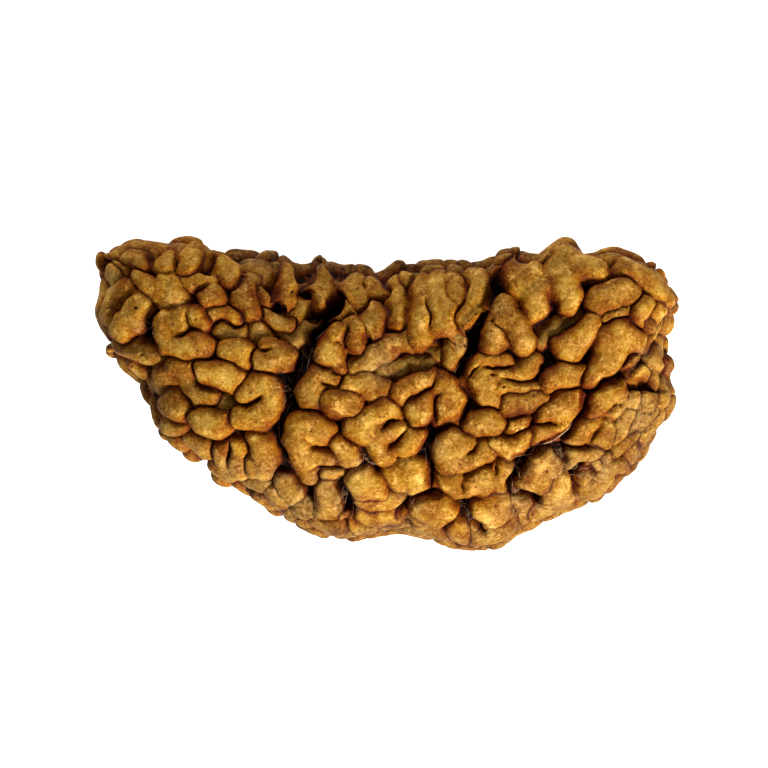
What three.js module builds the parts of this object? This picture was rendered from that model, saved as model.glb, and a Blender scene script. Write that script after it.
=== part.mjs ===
// Rudraksha seed: a half-moon bead stone, one natural piece, with winding nodules over its whole skin.
// Millimetres. +X runs along the stone, +Y towards its hollow edge and +Z up through its front face.
// The origin is the middle of the small flat spot that the stone lies on.
import * as THREE from "three";
import { ConvexHull } from "three/addons/math/ConvexHull.js";

// Driving dimensions
const HALF_THICKNESS = 5.75; // from the rim's plane to the outermost nodule tops
const SQUARENESS = 2.35; // of the pillow's section, where 2 would be an ellipse
const RIM_ALLOWANCE = 0.25; // by which nodules along the rim fall short of the pillow, on average
const FLAT_CUT = 0.16; // how much of the back's lowest nodules the flat spot takes off
const GROOVE_DEPTH = 1; // of the bare floor between nodules
const CREASE_DEPTH = 0.22; // extra, where two nodules press together
const CREASE_REACH = 0.45; // difference of height over which that extra fades
const SPREAD = 0.3; // how far a nodule's foot runs out past its listed radius
const FULLNESS = 2.1; // of a nodule's cross-section, where 2 would be an ellipse
const LEAST_RISE = 0.25; // of the thinnest nodule above its foot
const RISE_SHARE = 0.85; // of a nodule's half width, added to that
const FOOT_SLOPE = 2; // of the wall below a nodule's foot
const NARROW = { fullRadius: 0.65, sink: 0.3 }; // thinner nodules stand that share of the rest lower
const NODULE_REACH = 1.2; // past its balls, where it still shapes the surface
const FUSE_BLEND = 0.12; // rounding where strokes of one nodule meet
const FLOOR_BLEND = 0.08; // rounding where a nodule meets the floor
const FLANK = 0.4; // how little height counts on the front, so that nodules wrap round the rim
const SEEN = { lean: 0.18, sinkShare: 0.8, rimHold: 0.99 }; // how deep under the skin sides are seen
const WORN = { share: 0.5, level: 0.3, rimBand: 3.2, rimFade: 1.5, left: -8, leftFade: 3, top: 1.5, topFade: 1.5 };
const SLIT = { depth: 0.5, shoulder: 0.3, endShare: 0.35, taper: 0.4 };
const HOLLOW = { reach: 0.7, sinkReach: 0.55, sinkShare: 0.6 };
const SEAM_FURROW = { halfWidth: 0.22, fade: 0.35, depth: 0.35 };

// Waves that sway every outline a little: [axis moved, size, waves along x, y and z in radians, phase]
const SWAYS = [
  ["x", 0.1, 0, 2.1, 1.3, 0.4],
  ["x", 0.05, -2.2, 4.7, 0, 1.9],
  ["y", 0.1, 1.9, 0, -1.7, 2.1],
  ["y", 0.05, 4.3, 2.9, 0, 0.7],
  ["z", 0.08, 1.7, 2.3, 0, 1.1],
];

// Middle of the pillow, and of the flat spot, as the lists below measure places: millimetres right of
// and above the middle of the stone's outline, with z counted up from the rim's plane
const MIDDLE = new THREE.Vector3(0.7, 0.7, 0);
const BARE_SPOT = { radius: 1.2, fade: 1.3 }; // worn smooth round the origin

// Half sizes of the plain egg that the skin is stretched from
const EGG = new THREE.Vector3(16, 8.6, HALF_THICKNESS);

// Facets: their corners stand in rows along the creases, then fill the nodules between
const FACETS = {
  creaseTries: 16000,
  fillTries: 90000,
  creaseGap: 0.36,
  fillGap: 0.4,
  besideCrease: 0.3,
  finerInFront: 0.2, // share by which gaps shrink towards the front's top, and widen towards the back's
  mostCorners: 5980,
  eveningRounds: 3,
};

// The rim seen from the front, round the outermost nodule tops, anticlockwise from the right end
const RIM = [
  [16.25, 5.2], [15.7, 6.3], [14.95, 7.3], [13.6, 7.95], [12.2, 8.3], [11.2, 8.1], [10.2, 8.7], [9.3, 8.55],
  [8.3, 7.75], [7.2, 8.25], [6.2, 8.1], [5.1, 7.5], [3.4, 7.55], [1.8, 7.4], [0.6, 7.35], [-0.3, 6.75],
  [-1.6, 7.2], [-2.5, 7.1], [-3.5, 7.75], [-4.6, 7.2], [-5.7, 7.95], [-7.5, 7.95], [-9.2, 8.15],
  [-10.35, 8.75], [-12, 8.7], [-13.7, 8.8], [-14.9, 8.45], [-15.9, 7.85], [-15.95, 6.65], [-15.95, 5.6],
  [-16.2, 4.6], [-15.8, 3.3], [-15.65, 2.2], [-14.7, 1.3], [-13.8, 0.6], [-13.3, -0.4], [-13.05, -1.5],
  [-12.45, -2.45], [-11.3, -3.5], [-10.3, -4.2], [-9.3, -4.95], [-8.05, -5.6], [-6.85, -6.25],
  [-5.7, -7.05], [-4, -7.85], [-2.4, -8.3], [-0.8, -8], [0.8, -7.85], [2.35, -8.25], [4.4, -8.75],
  [6.3, -8.7], [7.3, -7.95], [8.75, -7.25], [10.2, -6.6], [11.8, -6.05], [12.8, -5.15], [14, -4.1],
  [14.9, -2.6], [15.7, -1.35], [16.15, 0], [15.8, 0.8], [15.9, 1.6], [15.75, 2.6], [15.95, 4],
];

// Nodules of the front face, read by eye. Each is [how far its top sinks, stroke, fused stroke, ...],
// and a stroke is a row of balls [x, y, radius].
const UPPER_LEFT = [
  [0.2, [[-15.6, 7.75, 0.2], [-15, 8.05, 0.3], [-14, 8.35, 0.4], [-13, 8.4, 0.42], [-12, 8.35, 0.38],
    [-11.4, 8.2, 0.25]], [[-13.1, 8.3, 0.35], [-13.05, 7.8, 0.14]]],
  [0.1, [[-14.35, 7.7, 0.5], [-13.65, 7.45, 0.55]]],
  [0.1, [[-11.98, 7.75, 0.42], [-12.3, 7.3, 0.48]]],
  [0, [[-10.75, 8.1, 0.45], [-10.85, 7.5, 0.6], [-11.05, 7.15, 0.48]]],
  [0.35, [[-15.35, 7.55, 0.17], [-14.95, 7.2, 0.2], [-14.5, 6.8, 0.19]]],
  [0.3, [[-15.5, 6.8, 0.35], [-15.15, 6.55, 0.42]]],
  [0.1, [[-13.85, 4.95, 0.72], [-14.45, 4.2, 0.85], [-15, 3.7, 0.6]], [[-14.6, 5.85, 0.42],
    [-15.2, 5.4, 0.5], [-15.65, 4.7, 0.42], [-15.75, 4.2, 0.35]]],
  [0.15, [[-13.65, 6.5, 0.4], [-13.1, 6, 0.5], [-12.75, 5.65, 0.42], [-12.5, 6.25, 0.4]],
    [[-11.8, 6.35, 0.32], [-11.8, 5.75, 0.52], [-11.55, 5.35, 0.5], [-12.2, 5.2, 0.3]]],
  [0.2, [[-11.2, 6.35, 0.22], [-10.85, 6.1, 0.34], [-10.2, 6.4, 0.34], [-9.7, 6.35, 0.34]],
    [[-9.6, 5.75, 0.45], [-9.85, 5.35, 0.5], [-9.4, 5.3, 0.38]]],
  [0.3, [[-10.2, 8.35, 0.25], [-9.85, 8.25, 0.3], [-9.6, 7.95, 0.2]]],
  [0, [[-11.6, 4.15, 0.62], [-11.5, 3.85, 0.5]], [[-12.35, 4.05, 0.4], [-12.5, 3.3, 0.5],
    [-12.05, 2.85, 0.55], [-11.2, 2.65, 0.6], [-10.4, 2.75, 0.72]], [[-10.65, 4.3, 0.48],
    [-10.35, 3.95, 0.4]]],
];
const LEFT_FLANK = [
  [0.45, [[-15.35, 2.7, 0.3], [-15, 2.25, 0.5], [-14.2, 2.1, 0.85], [-13.3, 1.95, 0.75]]],
  [0.5, [[-13.65, 0.75, 0.2], [-13.4, 0.4, 0.3], [-13.1, 0, 0.22]]],
  [0.15, [[-11.85, 1.5, 0.4], [-11.3, 1.4, 0.48], [-11.25, 0.8, 0.42], [-11.1, 0.3, 0.4],
    [-10.5, -0.12, 0.5], [-9.85, 0, 0.52]], [[-12.65, 0.65, 0.5], [-12.2, 0.95, 0.38]]],
  [0, [[-12, -0.6, 0.9], [-11.8, -0.7, 0.85]]],
  [0.15, [[-12.4, -1.85, 0.45], [-11.9, -1.95, 0.42]]],
  [0, [[-10.2, -1.6, 0.78], [-9.5, -1.75, 0.76]]],
  [0.4, [[-11, -2.85, 0.38], [-10.45, -3.2, 0.6], [-10.3, -3.45, 0.45]]],
  [0.45, [[-8.95, -0.5, 0.48]]],
  [0, [[-10, 1.2, 0.6], [-9.2, 0.95, 0.75], [-8.65, 0.85, 0.62]]],
  [0, [[-7.85, 0, 0.45], [-7.35, 0.4, 0.5], [-6.85, 0.45, 0.58], [-6.4, 0, 0.55], [-6.4, -0.6, 0.58],
    [-6.9, -1.25, 0.62], [-7.6, -1.45, 0.52], [-8.2, -1.25, 0.5]]],
  [0.1, [[-8.75, 2.3, 0.5], [-8.15, 2.45, 0.6], [-7.9, 2, 0.48], [-7.88, 1.65, 0.3]]],
  [0.1, [[-7, 1.75, 0.5], [-6.3, 2, 0.65], [-5.65, 2.05, 0.55], [-5.6, 1.65, 0.35]], [[-6.7, 2.65, 0.2],
    [-6.3, 2.7, 0.15]]],
  [0.35, [[-9.8, 4.25, 0.38], [-9.25, 4.58, 0.38], [-8.65, 4.4, 0.4], [-8.25, 4.15, 0.3]]],
  [0.45, [[-9.25, 3.6, 0.48], [-8.8, 3.4, 0.4]], [[-8.1, 3.4, 0.42]]],
  [0.5, [[-7.2, 3.65, 0.5], [-6.95, 3.35, 0.45]]],
];
const NOTCH = [
  [0.1, [[-9, 7.45, 0.6], [-8.55, 7.1, 0.8], [-8.5, 6.6, 0.55]]],
  [0.35, [[-7.6, 7.5, 0.36], [-7, 7.3, 0.38], [-6.78, 6.8, 0.33], [-6.68, 6.4, 0.2]]],
  [0.25, [[-7.35, 6.5, 0.38], [-7.9, 5.8, 0.6], [-7.8, 5.1, 0.6], [-7.55, 4.55, 0.45]]],
  [0.4, [[-6.75, 5.8, 0.28], [-6.62, 5.3, 0.28]]],
  [0.55, [[-6.6, 4.45, 0.4], [-6.05, 4.1, 0.55], [-5.55, 3.9, 0.33]]],
  [0.75, [[-4.8, 3.5, 0.38], [-5, 2.9, 0.38], [-5.45, 3.1, 0.25]]],
  [0.15, [[-5.3, 7.1, 0.42], [-5.5, 6.4, 0.48], [-5.5, 5.8, 0.42], [-5.5, 5.35, 0.25]]],
  [0.6, [[-6.25, 7.5, 0.3], [-5.7, 7.55, 0.3]]],
  [0.45, [[-4.7, 5.05, 0.3], [-4.75, 4.75, 0.36]]],
  [0.55, [[-4.45, 6.95, 0.3], [-4.35, 6.5, 0.25]]],
  [0.15, [[-3.7, 6.95, 0.35], [-3.5, 6.25, 0.45], [-3.5, 5.6, 0.4], [-3.7, 5.1, 0.25]]],
  [0.7, [[-3.95, 7.25, 0.22], [-3.4, 7.35, 0.33], [-2.95, 7.1, 0.22]]],
  [1.1, [[-4.15, 4.15, 0.3]]],
];
const TOP_FINGERS = [
  [0.1, [[-1.6, 6.55, 0.4], [-1.9, 6, 0.42], [-1.65, 5.6, 0.5], [-1.5, 5.25, 0.28]], [[-0.8, 6.4, 0.25],
    [-0.65, 5.8, 0.33]]],
  [0.7, [[-1.85, 7.1, 0.25], [-1.25, 6.98, 0.2]]],
  [0.15, [[-0.6, 4.9, 0.42], [-0.6, 4.2, 0.55], [-0.72, 3.65, 0.4]]],
  [0.3, [[-2.15, 5.05, 0.28], [-1.95, 4.6, 0.38], [-1.65, 4.2, 0.22]]],
  [0.15, [[0.4, 6.2, 0.4], [0.55, 5.5, 0.44], [0.6, 4.8, 0.4], [0.6, 4.1, 0.38]]],
  [0.75, [[0.45, 6.9, 0.28], [1, 7.05, 0.32], [1.7, 7.05, 0.22]]],
  [0, [[1.95, 6.4, 0.4], [1.95, 5.2, 0.45], [1.98, 4.2, 0.5], [1.85, 3.1, 0.42]], [[2.8, 6.5, 0.5],
    [2.85, 5.4, 0.75], [2.95, 4.6, 0.78], [3.1, 3.9, 0.52]], [[3.72, 6.4, 0.42], [3.75, 5.8, 0.38],
    [3.78, 5.35, 0.22]]],
  [0.1, [[4.95, 6.8, 0.48], [5.1, 6.2, 0.58], [4.9, 5.4, 0.52], [4.6, 4.6, 0.42], [4.4, 4.05, 0.32]]],
  [0.75, [[2.7, 7.3, 0.18], [3.2, 7.35, 0.22], [3.8, 7.22, 0.18]]],
  [0.6, [[5.85, 7.45, 0.3], [6.3, 7.7, 0.3]]],
  [0.7, [[6.8, 8, 0.18], [7.4, 7.98, 0.18], [7.9, 7.88, 0.12]]],
  [0, [[8, 7.15, 0.55], [8.1, 6.4, 0.8], [8.2, 5.6, 0.78], [8.4, 4.8, 0.52]], [[6.85, 7.1, 0.38],
    [7.1, 6.4, 0.42], [7.45, 5.8, 0.35]], [[9.5, 7.2, 0.65], [9.85, 6.3, 0.8], [10.05, 5.5, 0.72],
    [10.1, 5.05, 0.5]], [[9.6, 8.1, 0.5], [10.4, 7.75, 0.7], [11.1, 7.25, 0.7], [11.75, 7, 0.5]]],
  [0, [[6.5, 5.15, 0.42], [6.45, 4.4, 0.6], [6.15, 3.6, 0.7], [5.85, 2.95, 0.6]], [[6.7, 4.4, 0.6],
    [7.15, 3.65, 0.78], [7.45, 3, 0.66]]],
  [0.65, [[8.7, 3.1, 0.42], [9.3, 3.5, 0.42], [9.9, 4, 0.32], [10.5, 4.45, 0.18]]],
];
const RIGHT_SHOULDER = [
  [0.05, [[11.75, 5.3, 0.58], [12.5, 5.6, 0.72], [13.2, 6, 0.6], [13.7, 5.65, 0.4]]],
  [0.1, [[13.2, 7.2, 0.5], [14.1, 6.8, 0.7], [14.8, 6.3, 0.7], [15.5, 5.7, 0.5], [15.9, 5.2, 0.3]]],
  [0.35, [[11.9, 8.1, 0.2], [12.5, 8.1, 0.24]], [[12.6, 7.85, 0.22], [13.6, 7.75, 0.22],
    [14.6, 7.3, 0.22]]],
  [0.1, [[14.5, 5, 0.42], [14.2, 4.5, 0.48], [14, 4.15, 0.3]]],
  [0.2, [[15.3, 5, 0.28], [15.28, 4.5, 0.38], [15.15, 4.15, 0.28]]],
  [0.35, [[12.2, 4.3, 0.22], [12.9, 4.55, 0.3], [13.35, 4.6, 0.3]]],
  [0.05, [[11.35, 4, 0.42], [11, 3.3, 0.5], [10.5, 2.7, 0.58], [9.95, 2.4, 0.48]]],
  [0, [[13.3, 3.3, 0.85], [12.8, 2.6, 1], [12.2, 1.7, 0.75], [11.5, 1, 0.5]], [[14, 2.9, 0.5]]],
  [0, [[9.15, 0.8, 0.4], [9.9, 1, 0.52], [10.4, 1.1, 0.45]]],
];
const RIGHT_FLANK = [
  [0.25, [[13.7, 1.05, 0.35], [14.3, 1.3, 0.33]]],
  [0.3, [[15, 2.2, 0.42], [15.15, 1.5, 0.38]]],
  [0.3, [[15.35, 3.95, 0.2], [14.9, 3.15, 0.22], [14.75, 2.6, 0.2]]],
  [0.4, [[15.4, 3, 0.2], [15.45, 2.4, 0.2]]],
  [0.05, [[12.9, 0.4, 0.45], [12.4, -0.2, 0.65], [11.8, -0.7, 0.58]], [[13.12, -0.45, 0.24],
    [12.6, -1.1, 0.22]]],
  [0.05, [[10.5, -0.2, 0.38], [10, -0.8, 0.6], [9.3, -1, 0.6], [8.8, -1.2, 0.4]], [[8.6, -2.2, 0.48],
    [9.3, -2.05, 0.4], [9.9, -1.7, 0.38]]],
  [0.25, [[14.7, 0, 0.33], [14.6, -0.7, 0.42]]],
  [0.25, [[15.55, 0.4, 0.3], [15.6, -0.3, 0.28]]],
  [0.35, [[13.9, 0.1, 0.25], [13.8, -0.6, 0.33]]],
  [0.15, [[11.45, -1.65, 0.38], [10.9, -2.1, 0.48], [10.4, -2.6, 0.33]], [[12.3, -1.9, 0.33],
    [12.1, -2.4, 0.38], [11.7, -2.85, 0.28]]],
  [0.3, [[13.5, -1.2, 0.33], [13.2, -1.8, 0.33], [12.85, -2.45, 0.28]]],
  [0.35, [[14.8, -1.05, 0.26], [14.3, -1.5, 0.26], [13.75, -2, 0.22]]],
  [0.35, [[15.4, -1.3, 0.32], [14.9, -2, 0.33], [14.3, -2.7, 0.3]]],
  [0.35, [[13.9, -2.4, 0.24], [13.3, -2.8, 0.28], [12.75, -3.3, 0.28]]],
  [0.15, [[11.8, -3.2, 0.33], [11.2, -3.5, 0.48], [10.5, -3.55, 0.42]]],
  [0.35, [[14, -3.05, 0.28], [13.65, -3.65, 0.3]]],
  [0.3, [[12.6, -4.15, 0.38], [12, -4.6, 0.38]], [[13.2, -4.1, 0.33]]],
  [0.35, [[11.3, -5.25, 0.33], [10.9, -5.5, 0.28]], [[12.4, -5.25, 0.22], [11.9, -5.7, 0.26],
    [11.25, -5.9, 0.2]]],
];
const CENTRE = [
  [0, [[-2.7, 3.5, 0.42], [-3.1, 2.65, 0.6], [-3.15, 2.1, 0.6], [-2.75, 1.6, 0.35]],
    [[-2.05, 3.9, 0.28], [-1.85, 3.3, 0.45], [-1.85, 2.75, 0.42]]],
  [0.35, [[-1.85, 1.4, 0.38], [-1.1, 1.8, 0.55], [-0.4, 2.4, 0.55], [0.3, 2.9, 0.48], [1, 2.95, 0.42],
    [1.3, 2.7, 0.28]]],
  [0.55, [[-0.3, 1.25, 0.33], [0.3, 1.4, 0.4], [0.75, 1.6, 0.33]], [[1.3, 1.95, 0.33], [1.75, 1.7, 0.5],
    [2.3, 1.6, 0.42]]],
  [0.75, [[2.3, 2.5, 0.33], [2.7, 2.25, 0.28]]],
  [0.45, [[3.9, 2.9, 0.42], [3.95, 2.4, 0.52], [3.55, 1.8, 0.35]]],
  [0.1, [[-3.8, 0.9, 0.58], [-4.2, 0.2, 0.62], [-4.3, -0.25, 0.5], [-3.8, -0.3, 0.4]],
    [[-3.3, 1, 0.42], [-2.95, 0.8, 0.33]]],
  [0, [[-3.2, -0.5, 0.5], [-2.6, -0.6, 0.72], [-1.95, -0.5, 0.55]]],
  [0.15, [[-2.15, 0.6, 0.38], [-1.3, 0.45, 0.48], [-0.5, 0.25, 0.48], [-0.25, 0.2, 0.35]]],
  [0, [[0.1, -0.85, 0.55], [-0.5, -1.1, 0.42], [-1.2, -1.6, 0.62], [-1.8, -1.75, 0.42],
    [-1.2, -2.2, 0.6]], [[0.65, -1.95, 0.33], [0.2, -2.2, 0.5], [-0.5, -2.4, 0.5], [-0.5, -2.9, 0.5],
    [-0.2, -3.35, 0.55]], [[1.55, -2.35, 0.4], [1.3, -2.75, 0.48], [0.8, -3.1, 0.33]]],
  [0.05, [[0.7, -0.1, 0.35], [1.2, 0.3, 0.48], [1.8, 0.6, 0.45], [2.4, 0.8, 0.28]], [[2.15, -0.4, 0.35],
    [1.8, -1, 0.6], [1.85, -1.3, 0.42]], [[2.95, 0.55, 0.4], [3.35, 0.5, 0.45], [3.5, -0.2, 0.75],
    [3.4, -0.9, 0.78], [3.15, -1.3, 0.45]]],
  [0.2, [[5.1, 0.6, 0.45], [5.5, 1.1, 0.45], [5.5, 0.3, 0.55], [5.75, -0.3, 0.48]], [[4.5, 0.9, 0.22],
    [4.8, 1.55, 0.28], [5.4, 1.85, 0.28], [6.2, 1.82, 0.24], [6.65, 1.75, 0.2]], [[6.3, 1.1, 0.33],
    [7, 1.1, 0.33], [7.5, 1.05, 0.4], [8, 1.5, 0.48], [8.2, 1.75, 0.33]], [[6.5, 0.5, 0.4],
    [7.2, 0.4, 0.33], [7.9, 0.28, 0.26], [8.2, 0.25, 0.2]]],
  [0.1, [[6.7, -0.72, 0.35], [7.4, -0.5, 0.48], [8.1, -0.35, 0.4], [8.6, -0.2, 0.24]]],
  [0.05, [[4.6, -1.7, 0.4], [5.4, -1.6, 0.65], [6, -1.7, 0.5]]],
  [0.3, [[7.1, -1.75, 0.52], [7.35, -1.65, 0.48]]],
];
const BELLY = [
  [0, [[3.5, -2.6, 0.68], [4.2, -2.75, 0.65], [3.3, -3.3, 0.72]], [[5.6, -3.35, 0.3], [5.2, -3.2, 0.5],
    [4.9, -3.5, 0.48], [4.1, -3.9, 0.4], [3.2, -4.05, 0.28]]],
  [0.1, [[6.15, -2.85, 0.48], [6.7, -3.2, 0.38], [7.3, -2.95, 0.33], [7.7, -2.5, 0.24]]],
  [0.1, [[2.95, -4.8, 0.38], [3.6, -5.05, 0.55], [3.9, -5.4, 0.48]], [[4.6, -5.2, 0.5], [5.2, -4.9, 0.65],
    [5.5, -5.1, 0.52]], [[6.55, -4.25, 0.42], [6.3, -4.8, 0.4], [5.95, -5.25, 0.33]]],
  [0, [[-4.75, -1.85, 0.75], [-4.2, -2.1, 0.82], [-3.6, -2.1, 0.6]], [[-5.1, -2.8, 0.55],
    [-4.7, -3.5, 0.58], [-4.35, -4.2, 0.5], [-4.35, -4.6, 0.33]], [[-4, -3.45, 0.42],
    [-3.4, -3.55, 0.4]]],
  [0.1, [[-2.6, -2.85, 0.42], [-2.3, -3.3, 0.58], [-2.2, -3.6, 0.42]]],
  [0.25, [[-3.4, -4.5, 0.33], [-2.8, -4.45, 0.28]]],
  [0.2, [[-3.5, -5.25, 0.4], [-3.3, -5.9, 0.55], [-3.5, -6.5, 0.5], [-2.85, -6.7, 0.35]]],
  [0.15, [[-5.8, -5, 0.38], [-5.5, -5.45, 0.52], [-5.25, -5.75, 0.4]]],
  [0.1, [[1.3, -4.1, 0.55], [1.55, -4.7, 0.72], [1.7, -5.05, 0.58]], [[0.35, -4.5, 0.42],
    [0.65, -5.05, 0.38]]],
  [0.05, [[-1.6, -4.7, 0.55], [-1.2, -5.2, 0.78], [-0.7, -5.3, 0.58]]],
  [0.2, [[0.5, -5.95, 0.42], [-0.1, -6.2, 0.5], [-0.8, -6.3, 0.35], [-1.4, -6.1, 0.2]]],
  [0.25, [[-1.4, -6.85, 0.4], [-0.6, -7.1, 0.58], [0.1, -7, 0.48]]],
  [0.1, [[1.8, -6.6, 0.48], [2.6, -6.6, 0.82], [3.1, -6.6, 0.72], [2.7, -7.2, 0.38]]],
  [0.1, [[6.25, -6.1, 0.55], [5.9, -6.7, 0.82], [6.3, -7, 0.58], [5.2, -6.6, 0.55]]],
  [0.1, [[8.6, -3.7, 0.58], [8.5, -4.3, 0.72], [8.7, -4.8, 0.48]], [[9.3, -3.9, 0.3],
    [9.35, -4.3, 0.25]], [[7.4, -5.15, 0.22], [7.9, -5.25, 0.28], [8.35, -5.3, 0.18]]],
  [0.2, [[9.9, -4.7, 0.38], [9.7, -5.4, 0.62], [9.8, -6, 0.48], [9.2, -5.8, 0.38]]],
];
const LOWER_LEFT = [
  [0.25, [[-9.25, -3.2, 0.28], [-9.2, -3.9, 0.33]], [[-8.4, -3, 0.4], [-8.3, -3.7, 0.4],
    [-8.4, -4.4, 0.42]], [[-9.9, -4.3, 0.2], [-9.3, -4.6, 0.28], [-8.75, -4.85, 0.28]]],
  [0.1, [[-7, -2.85, 0.58], [-6.9, -3.5, 0.65], [-6.8, -4.1, 0.55], [-6.9, -4.35, 0.4]],
    [[-7.5, -3.85, 0.26], [-7.42, -4.35, 0.28]]],
  [0.5, [[-7.6, -5.2, 0.42], [-7, -5.3, 0.48]]],
  [0.35, [[-6.4, -5.6, 0.38], [-6.1, -6.2, 0.45]]],
  [0.4, [[-5.7, -6.7, 0.33], [-5.15, -7, 0.3]]],
  [0.35, [[-4.85, -6.45, 0.48], [-4.4, -6.65, 0.48]]],
  [0.3, [[-3.8, -7.3, 0.42], [-3.2, -7.55, 0.52], [-2.7, -7.65, 0.38]]],
  [0.5, [[-2.5, -8, 0.28], [-1.8, -7.95, 0.28]]],
  [0.4, [[-1.85, -7.2, 0.3], [-1.4, -7.6, 0.38], [-0.9, -7.75, 0.25]]],
];
const BOTTOM_RIM = [
  [0.5, [[0.4, -7.4, 0.26], [-0.1, -7.6, 0.15]]],
  [0.3, [[1.9, -7.5, 0.28], [2.7, -7.9, 0.28], [3.2, -8.15, 0.2]]],
  [0.25, [[4, -7.4, 0.4], [3.8, -7.9, 0.42], [4.4, -8.25, 0.33]]],
  [0.2, [[6.9, -7.2, 0.33], [6.5, -7.9, 0.42], [5.8, -8.15, 0.38], [5, -8.25, 0.33]]],
  [0.4, [[7.45, -6.1, 0.33], [7.9, -6.3, 0.26], [7.4, -6.8, 0.38]]],
  [0.35, [[8.3, -6.85, 0.28], [9, -6.6, 0.28]]],
];
const FRONT_NODULES = [
  ...UPPER_LEFT, ...LEFT_FLANK, ...NOTCH, ...TOP_FINGERS, ...RIGHT_SHOULDER,
  ...RIGHT_FLANK, ...CENTRE, ...BELLY, ...LOWER_LEFT, ...BOTTOM_RIM,
];

// Slits cut into single nodules: [half width, share of the full depth, path]
const SLITS = [
  [0.16, 1, [[-13.45, 8], [-13.3, 7.7], [-13.05, 7.3]]],
  [0.14, 0.9, [[-13.9, 5.6], [-14.55, 5.3], [-14.9, 4.8], [-15.3, 4.35], [-15.4, 4]]],
  [0.1, 0.6, [[-14.9, 4.75], [-15.7, 4.7]]],
  [0.14, 0.9, [[-12.9, 6.85], [-12.95, 6.35]]],
  [0.14, 0.9, [[-10.75, 5.6], [-10.3, 5.85], [-9.8, 6.1]]],
  [0.14, 1, [[-11.75, 3.2], [-11.35, 3.2], [-10.9, 3.65], [-10.2, 3.5]]],
  [0.12, 0.7, [[-11.1, 4.6], [-11.05, 4.3], [-10.9, 3.7]]],
  [0.16, 1, [[-8.3, -0.62], [-7.75, -0.68], [-7.2, -0.4], [-6.85, -0.08]]],
  [0.16, 1, [[-7.1, 2.45], [-6.7, 2.42], [-6.35, 2.5]]],
  [0.14, 0.9, [[2.08, 5.25], [2.3, 4.6], [2.42, 4.1], [2.4, 3.6]]],
  [0.12, 0.7, [[3.2, 6.3], [3.28, 5.6], [3.65, 5.08]]],
  [0.14, 0.8, [[5.8, 4.05], [6.4, 3.55], [6.75, 3], [6.9, 2.5]]],
  [0.12, 0.6, [[6.9, 6.9], [7.05, 6.3], [7.35, 5.7]]],
  [0.14, 1, [[9.1, 5.5], [9.12, 5], [9.18, 4.6]]],
  [0.14, 0.9, [[-2.2, 4], [-2.22, 3.3], [-2.25, 2.7], [-2.35, 2.45]]],
  [0.12, 0.6, [[-2.3, 2.7], [-2.6, 2.9], [-3, 2.85]]],
  [0.14, 0.8, [[-3.8, 0.85], [-3.55, 0.58], [-3, 0.42], [-2.75, 0.45]]],
  [0.16, 1, [[0.7, -1.45], [0.1, -1.58], [-0.3, -1.95]]],
  [0.14, 0.9, [[1.1, -2.05], [0.55, -2.65], [0.1, -3]]],
  [0.15, 0.9, [[2.72, -1.7], [2.65, -0.8], [2.75, -0.2], [3.05, 0.05]]],
  [0.14, 0.9, [[2.75, 0.9], [2.55, 0.35], [1.9, 0.05], [1.35, -0.15], [1, -0.6]]],
  [0.15, 1, [[4.55, 0.7], [4.85, 1.35], [5.2, 1.6]]],
  [0.12, 0.8, [[5.65, 1.05], [6.1, 1]]],
  [0.14, 0.9, [[5.15, -2.6], [4.8, -3.1], [4.3, -3.35]]],
  [0.15, 1, [[6.05, -3.85], [6.05, -4.5]]],
  [0.14, 1, [[4.15, -4.85], [4.2, -5.5]]],
  [0.14, 0.9, [[-4.15, -2.98], [-3.6, -3.02], [-3.15, -2.95]]],
  [0.14, 0.8, [[-4.2, -4.2], [-3.9, -4.1], [-3, -4.12], [-2.3, -4.15]]],
  [0.14, 0.9, [[-3.82, -4.2], [-3.78, -4.9]]],
  [0.14, 0.9, [[-7.78, -3.2], [-7.65, -3.55], [-7.45, -3.7]]],
  [0.14, 0.9, [[8.05, -1.7], [8.7, -1.7], [9.4, -1.7]]],
  [0.12, 0.6, [[12.05, -1.15], [12.6, -0.7], [13.05, -0.5]]],
  [0.13, 0.8, [[9.6, -2.95], [10.6, -3.05], [11.3, -2.95]]],
  [0.12, 0.7, [[11.9, -1.9], [11.55, -2.5], [11.3, -2.9]]],
];

// Hollows where the valleys between nodules run deepest: [extra depth, path]
const HOLLOWS = [
  [0.5, [[-13.5, 3.25], [-13.15, 3.45]]],
  [0.4, [[-9.85, 7.5], [-9.85, 7]]],
  [0.9, [[-4.5, 6.5], [-4.5, 5.8]]],
  [0.5, [[-4.1, 5], [-4, 4.5]]],
  [0.6, [[-6.1, 6.6], [-6.2, 5.9], [-6.15, 5.2]]],
  [0.9, [[-2.75, 6], [-2.85, 5.2], [-3.1, 4.4], [-3.5, 3.7], [-3.9, 2.9]]],
  [0.7, [[-4.2, 2.4], [-4.7, 1.9], [-4.6, 2.5]]],
  [0.2, [[1.25, 5.6], [1.22, 4.4]]],
  [0.6, [[4.85, 3.2], [4.75, 2.6], [4.3, 1.6], [3.9, 1.2]]],
  [0.3, [[0.5, 2.35], [0.9, 2.3]]],
  [0.3, [[-2.1, 2.1], [-1.95, 2.25]]],
  [0.5, [[6.1, 7], [6.15, 6.3]]],
  [0.3, [[4.1, -6.2], [4.2, -6.8]]],
  [0.3, [[4.8, -7.3], [5.2, -7.6]]],
  [0.4, [[7.3, -3.95], [7.25, -4.5], [6.9, -5.2]]],
  [0.4, [[7.9, -5.85], [8.4, -6.2]]],
  [0.4, [[10.6, -4.35], [11.1, -4.4]]],
  [0.3, [[-2.6, -5.3], [-2.3, -6.3]]],
  [0.3, [[2.2, -3.3], [2.3, -2.5]]],
  [0.3, [[-5.6, 0.2], [-5.5, -0.6]]],
];

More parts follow.
